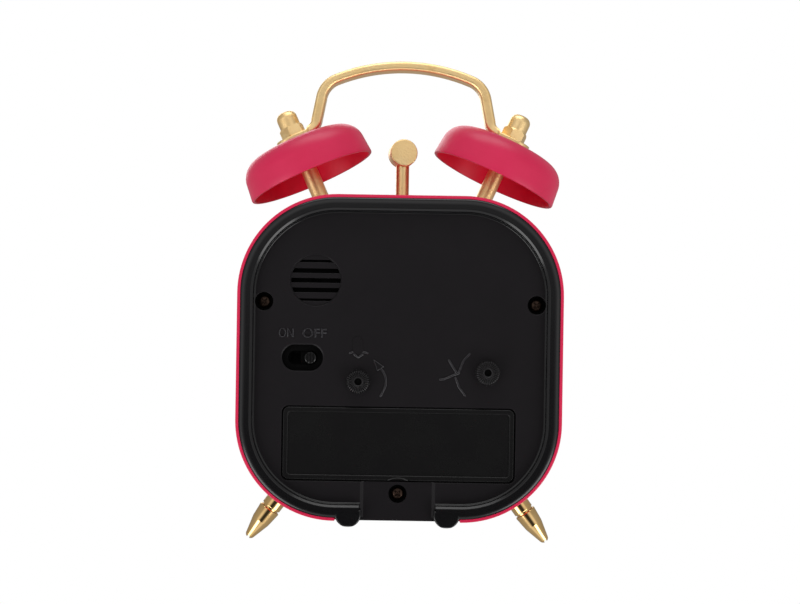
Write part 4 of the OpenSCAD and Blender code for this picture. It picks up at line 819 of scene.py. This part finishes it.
def bellLine(depth):
    r, h, taper = bells["shoulder"] - depth, bells["high"] - depth, math.radians(bells["taper"])
    mouth = bells["radius"] - depth / math.cos(taper)
    wall = [(mouth - math.tan(taper) * s, s) for s in bells["wallAt"]]
    shoulder = arc(bells["middle"], r, bells["taper"], bells["crownEnd"], 16)
    return wall + shoulder + [(bells["flat"], h), (bells["hole"], h)]


def makeBell(name, side, node):
    outside, within = bells["lip"] + bellLine(0), bellLine(bells["wall"])
    # the inner profile takes the deeper copy of the bell paint: painted shade and bounce light
    bm = lathe(outside + within[::-1], bells["steps"], [0] * len(outside) + [1] * len(within))
    place(name, moved(bm, bellPlace(side)), ("bellPaint", "bellInsidePaintedShade"), "clock", "pink_paint", node, crisp=28)


makeBell("leftBell", -1, "left_bell")
makeBell("rightBell", 1, "right_bell")

# cap nuts on the handle's tabs: chamfered hexagon, flange and dome
nuts = dict(
    flats=6.8, hex=3.0, dome=3.2, domeRoot=0.6, edge=2.1, edgeEnd=78, tip=(0.7, 0.01), high=7.9, seat=13.9,
    turn=15)


def makeCapNuts():
    r, up, edge = nuts["flats"] / 2, nuts["hex"], nuts["edge"]
    corner, (tipR, tipDown) = r / math.cos(math.radians(30)), nuts["tip"]
    domeR, low, top = nuts["dome"], up - nuts["domeRoot"], nuts["high"]
    coneLine = [(r + 0.05, -0.2), (r + 0.2, 0.0), (corner + 0.1, 0.42), (corner + 0.1, up - 0.75),
                (r + 0.1, up + 0.01), (r, up + 0.3)]  # breaks the corners of the hexagon
    domeLine = [(0, low), (domeR, low), (domeR, up + nuts["domeRoot"])]
    domeLine += arc((domeR - edge, top - edge), edge, 0, nuts["edgeEnd"], 10)
    domeLine += [(tipR, top - tipDown), (0, top)]
    parts = []
    for side in (-1, 1):
        hexagon = moved(plate(disc2d(corner, steps=6), [], -up, 0), spin(-90, "X"))
        bm = machine(machine(hexagon, keep=[solid(coneLine)]), add=[lathe(domeLine)])
        bm.transform(bellPlace(side) @ shift(0, 0, nuts["seat"]) @ spin(nuts["turn"], "Z"))
        parts.append(bm)
    place("capNuts", together(*parts), "satinBrass", "clock", "brass", "cap_nuts", crisp=24)


makeCapNuts()

# handle: one flat bar, arched, bent at the shoulders, fuller in the legs, its ends pressed flat under the nuts
handle = dict(
    thick=2.8, legThick=3.2, deep=6.0, round=0.94, archMiddle=(0, 35.1), archRadius=54.6, archEnd=67.4932,
    shoulder=(17.9912, 78.5202), shoulderRadius=7.6, lean=11.0, legLong=7.361, heelRadius=3.6, heelTurn=54.7,
    heelThick=2.3, heelSpread=0.8, heelSharper=0.2, tabThick=1.3, tabWide=8.5, tabStart=(-5.04, 1.1),
    tabRound=(0.65, 0.3), tabEnd=5.9, tipTurn=88, tipWide=0.9, tipRound=(0.35, 0.1))


def shares(count):
    return [k / count for k in range(1, count + 1)]


def makeHandle():
    stations = []  # (middle of the bar, outward normal, thickness, depth, edge radius)
    thin, full, deep, edge = handle["thick"], handle["legThick"], handle["deep"], handle["round"]
    extra, archEnd, lean = (full - thin) / 2, handle["archEnd"], handle["lean"]
    for share in (0, *shares(24)):
        n = Vector(ray(90 - (90 - archEnd) * share))
        stations.append((Vector(handle["archMiddle"]) + n * handle["archRadius"], n, thin, deep, edge))
    for share in shares(18):
        n = Vector(ray(archEnd - (archEnd - lean) * share))
        stations.append((Vector(handle["shoulder"]) + n * (handle["shoulderRadius"] - extra * share), n,
                         thin + 2 * extra * share, deep, edge))
    top, n = stations[-1][:2]
    down = Vector((n.y, -n.x))
    for share in shares(4):
        stations.append((top + down * handle["legLong"] * share, n, full, deep, edge))

    heel, heelThick, spread = handle["heelRadius"], handle["heelThick"], handle["heelSpread"]
    bend = stations[-1][0] + n * (heel + extra)
    for share in shares(12):
        out = Vector(ray(lean + handle["heelTurn"] * share))
        thick = full + (heelThick - full) * share
        reach = heel + thin / 2 + 2 * extra * (1 - share) - thick / 2
        stations.append((bend - out * reach, out, thick, deep + spread * share * share,
                         edge - handle["heelSharper"] * share))
    up = Vector(ray(bells["tilt"])[::-1])
    along = Vector((up.y, -up.x))
    crown = Vector(bells["at"]) + up * bells["high"]
    flat, endRadius = handle["tabThick"], handle["tabWide"] / 2
    (tabStart, tabRun), (tabRound, tabSharper) = handle["tabStart"], handle["tabRound"]
    for share in shares(5):
        ease = share * share * (3 - 2 * share)
        thick = heelThick + (flat - heelThick) * ease
        stations.append((crown + along * (tabStart + tabRun * share) + up * thick / 2, up, thick,
                         deep + spread + (2 * endRadius - deep - spread) * ease, tabRound - tabSharper * share))
    middle, (tipRound, tipLeast) = handle["tabEnd"] - endRadius, handle["tipRound"]
    for share in (0, *shares(12)):
        c, s = ray(handle["tipTurn"] * share)
        wide = 2 * endRadius * c
        stations.append((crown + along * (middle + endRadius * s) + up * flat / 2, up, flat,
                         max(wide, handle["tipWide"]), min(tipRound, wide / 4 + tipLeast)))

    mirrored = [(Vector((-p.x, p.y)), Vector((-n.x, n.y)), *rest) for p, n, *rest in stations[1:]]
    bm = bmesh.new()
    rings = []
    for p, n, thick, wide, radius in mirrored[::-1] + stations:
        rings.append([bm.verts.new((p.x + n.x * u, v, p.y + n.y * u)) for u, v in box2d(thick, wide, radius)])
    skin(bm, rings)
    bm.faces.new(rings[0][::-1])
    bm.faces.new(rings[-1])
    place("handleBar", bm, "satinBrass", "clock", "brass", "handle", crisp=40)


makeHandle()

# hammer: turned head on its rod, faces crowned and broken at the edge, a fine turned line round each end
hammer = dict(
    z=63.1, radius=4.15, long=6.0, edge=0.35, crown=(0.01, 0.05), flatIn=0.15, line=(1.2, 0.08, 0.06), twist=9)


def makeHammer():
    r, end, edge = hammer["radius"], -hammer["long"] / 2, hammer["edge"]
    (rise, crown), (lineAt, lineHalf, lineDeep) = hammer["crown"], hammer["line"]
    half = [(0, end), (r * 0.5, end + rise), (r - edge - hammer["flatIn"], end + crown)]
    half += [(r - edge + edge * math.sin(a), end + crown + edge * (1 - math.cos(a)))
             for a in (0, 0.4, 0.8, 1.2, 1.57)]
    half += [(r, end + lineAt), (r - lineDeep, end + lineAt + lineHalf), (r, end + lineAt + 2 * lineHalf)]
    bm = lathe(half + [(x, -y) for x, y in reversed(half)], 88)
    bm.transform(shift(0, 0, hammer["z"]) @ spin(hammer["twist"], "Z") @ spin(-90, "X"))
    place("hammerHead", bm, "satinBrass", "hammer", "brass", "hammer_head", crisp=40)


makeHammer()

# turned feet: neck, groove, barrel and a slotted point
foot = dict(
    corner=18.7, caseRadius=29.3, y=-5.35, angle=36.5, root=0.8, neck=3.1, neckLong=5.4,
    neckEdge=((0, -0.2), (-0.06, -0.06), (-0.2, 0)), groove=(0.5, 0.4), grooveEdge=0.02, barrel=3.35,
    barrelEdge=((-0.35, 0), (-0.1, 0.1), (0, 0.35)), barrelLow=2.9, barrelLong=4.8, long=17.3, tip=1.5,
    slot=(0.8, 0.7))


def makeFoot(name, side, node):
    neck, s1, end, tip = foot["neck"], foot["neckLong"], foot["long"], foot["tip"]
    grooveLong, grooveDeep = foot["groove"]
    s2, deep, soft = s1 + grooveLong, neck - grooveDeep, foot["grooveEdge"]
    s3 = s2 + foot["barrelLong"]
    slope = math.degrees(math.atan2(foot["barrelLow"] - tip, end - s3 - tip))
    profile = [(0, -foot["root"]), (neck, -foot["root"]), *near(neck, s1, foot["neckEdge"])]
    profile += [(deep, s1 + soft), (deep, s2 - soft), *near(foot["barrel"], s2, foot["barrelEdge"])]
    profile += [(foot["barrelLow"], s3), *arc((0, end - tip), tip, slope, 86, 16), (0, end)]
    wide, down = foot["slot"]
    cutter = block((-wide / 2, -5, end - down), (wide / 2, 5, end + 2))
    bm = machine(lathe(profile, 96), cut=[cutter])
    bm.transform(shift(side * foot["corner"], foot["y"], -foot["corner"])
                 @ spin(side * (180 - foot["angle"]), "Y") @ shift(0, 0, foot["caseRadius"]))
    place(name, bm, "turnedBrass", "clock", "brass", node, crisp=7)


makeFoot("leftFoot", -1, "left_foot")
makeFoot("rightFoot", 1, "right_foot")
print("rear and outside done")

# dial print: plain figures, minute track with longer marks at the hours
dial = dict(
    face=-12.25, root=0.05, ink=0.12, figures=33.2, figureHigh=7.4, figureBold=0.12, track=(39.0, 41.2),
    hourTrack=37.9, hourMark=0.95, minuteMark=0.42, ring=41.5, ringHalf=0.22, ringSteps=180)


def makeDialPrint():
    y0, y1 = dial["face"] + dial["root"], dial["face"] - dial["ink"]
    parts = []
    for hour in range(1, 13):
        c, s = ray(90 - 30 * hour)
        at, size = (dial["figures"] * c, dial["figures"] * s), (None, dial["figureHigh"])
        parts.append(lettering(str(hour), at, size, y0, y1, 0.0, False, dial["figureBold"]))
    for minute in range(60):
        hourly = minute % 5 == 0
        start, end = dial["hourTrack"] if hourly else dial["track"][0], dial["track"][1]
        wide = dial["hourMark"] if hourly else dial["minuteMark"]
        out = Vector(ray(6 * minute))
        over = Vector((-out.y, out.x)) * wide / 2
        corners = [out * start - over, out * end - over, out * end + over, out * start + over]
        parts.append(plate([tuple(c) for c in corners], [], y1, y0))
    half, steps = dial["ringHalf"], dial["ringSteps"]
    outer, inner = [disc2d(dial["ring"] + over, steps=steps) for over in (half, -half)]
    parts.append(plate(outer, [inner], y1, y0))
    place("dialPrint", together(*parts), "dialInk", "clock", "inner_black", crisp=40)


makeDialPrint()

# the solids that stay take their finish by the record's slot
bySlot = {"pink_paint": "pinkPaint", "brass": "satinBrass", "black_plastic": "blackPlastic",
          "dark_screw": "darkBronze", "steel": "steel", "clear_lens": "clearLens", "white_dial": "dialWhite",
          "ivory_plastic": "ivoryPlastic", "copper_wire": "copperWire", "green_board": "greenBoard",
          # inner parts take the near-black finish so the grille's slots read black: painted shade
          "inner_black": "paintedShadeBlack", "magnet": "magnetGrey", "black_hand": "handBlack"}
for part in frame["record"]["subparts"]:
    solidNode = frame["nodes"][part["node"]]
    solidNode.data.materials.clear()
    solidNode.data.materials.append(look[bySlot[part["material_slot"]]])

# pale floor that thins out to the white room; open from below, as the camera is just under its level
studio = dict(
    floorSize=3.0, floorCells=8, floorDrop=0.0004, speck=60, fade=(0.22, 0.7),
    pale=((240, 240, 240), (244, 244, 244)), ambient=0.6, dim=14,
    gloss=((0.0, 0.35), (0.3, 0.4), (0.5, 0.45), (0.74, 0.5), (0.86, 1.0), (0.925, 1.0), (0.955, 0.55),
        (0.985, 0.05)))
floorMat = bpy.data.materials.new("paleFloor")
floorMat.use_nodes = True
wire = Wire(floorMat.node_tree)
spot = wire.node("TexCoord", out="Object")
speck = wire.node("TexNoise", {}, {"Vector": spot, "Scale": studio["speck"], "Detail": 3})
pale = wire.node("BsdfDiffuse", {}, {"Color": speck.mix(*[srgb(*tone) for tone in studio["pale"]])})
see = wire.node("BsdfTransparent")
away = wire.node("VectorMath", {"operation": "LENGTH"}, {0: spot}, out="Value").spread(*studio["fade"])
under = wire.node("NewGeometry", out="Backfacing").most(away)
for kind in ("Is Glossy Ray", "Is Shadow Ray"):
    under = under.most(wire.node("LightPath", out=kind))
floorEnd = floorMat.node_tree.nodes["Material Output"]
wire.into(floorEnd, {"Surface": wire.node("MixShader", {}, {0: under, 1: pale, 2: see})})
floorBm = bmesh.new()
cells = studio["floorCells"]
bmesh.ops.create_grid(floorBm, x_segments=cells, y_segments=cells, size=studio["floorSize"] / 2)
floorBm.transform(shift(0, 0, -studio["floorDrop"]))
floorObj = asObject("floor", asMesh("floor", floorBm))
floorObj.data.materials.append(floorMat)

# white room: white where it is seen directly; shiny things see it darker round the camera and before the dial
world = bpy.data.worlds.new("whiteRoom")
bpy.context.scene.world = world
world.use_nodes = True
wire = Wire(world.node_tree)
seen = wire.node("LightPath", out="Is Camera Ray").most(wire.node("LightPath", out="Is Transmission Ray"))
shiny = wire.node("LightPath", out="Is Glossy Ray")
dimSide = depthDir * math.cos(math.radians(studio["dim"])) - upDir * math.sin(math.radians(studio["dim"]))
facing = wire.node("VectorMath", {"operation": "DOT_PRODUCT"},
                   {0: wire.node("TexCoord", out="Generated"), 1: tuple(dimSide)}, out="Value").spread(-1, 1)
gloss = wire.node("ValToRGB", {"stops": [(at, (v, v, v, 1)) for at, v in studio["gloss"]]}, {0: facing})
level = seen + (1 - seen) * (shiny * gloss + (1 - shiny) * studio["ambient"])
wire.into(world.node_tree.nodes["Background"], {"Color": (1, 1, 1, 1), "Strength": level})

# soft boxes placed in the case's millimetres: two low beside the camera, one above, one for the dial
lamps = {"lowLeft": ((430, 380, -380), (0.42, 0.42), 1.9),
         "lowRight": ((-430, 380, -380), (0.42, 0.42), 1.9),
         "above": ((0, 140, 650), (0.6, 0.4), 2.0),
         "dialSide": ((160, -600, 330), (0.5, 0.5), 1.6)}
aim = clockFrame @ Vector((0, 0, 10))
for name, (at, size, watts) in lamps.items():
    data = bpy.data.lights.new(name + "Box", "AREA")
    data.shape = "RECTANGLE"
    data.size, data.size_y = size
    data.energy = watts
    lamp = asObject(name + "Box", data)
    spot = clockFrame @ Vector(at)
    lamp.matrix_world = shift(*spot) @ (aim - spot).to_track_quat("-Z", "Y").to_matrix().to_4x4()
    lamp.visible_camera = False

# camera square to the rear panel, as in the picture
shot = dict(at=(-0.76, 467.0, -3.4), lens=68.27, sensor=36.0, roll=0.9, shift=(-0.0025, 0.085), clip=(0.01, 20))
lensData = bpy.data.cameras.new("shot")
lensData.lens = shot["lens"]
lensData.sensor_width = shot["sensor"]
lensData.sensor_fit = "HORIZONTAL"
lensData.shift_x, lensData.shift_y = shot["shift"]
lensData.clip_start, lensData.clip_end = shot["clip"]
camera = asObject("shot", lensData)
square = Matrix([upDir.cross(depthDir), upDir, depthDir]).transposed().to_4x4()
camera.matrix_world = shift(*(clockFrame @ Vector(shot["at"]))) @ square @ spin(shot["roll"], "Z")
bpy.context.scene.camera = camera
bpy.context.scene.view_settings.view_transform = "Standard"
print("stage, light and camera set")
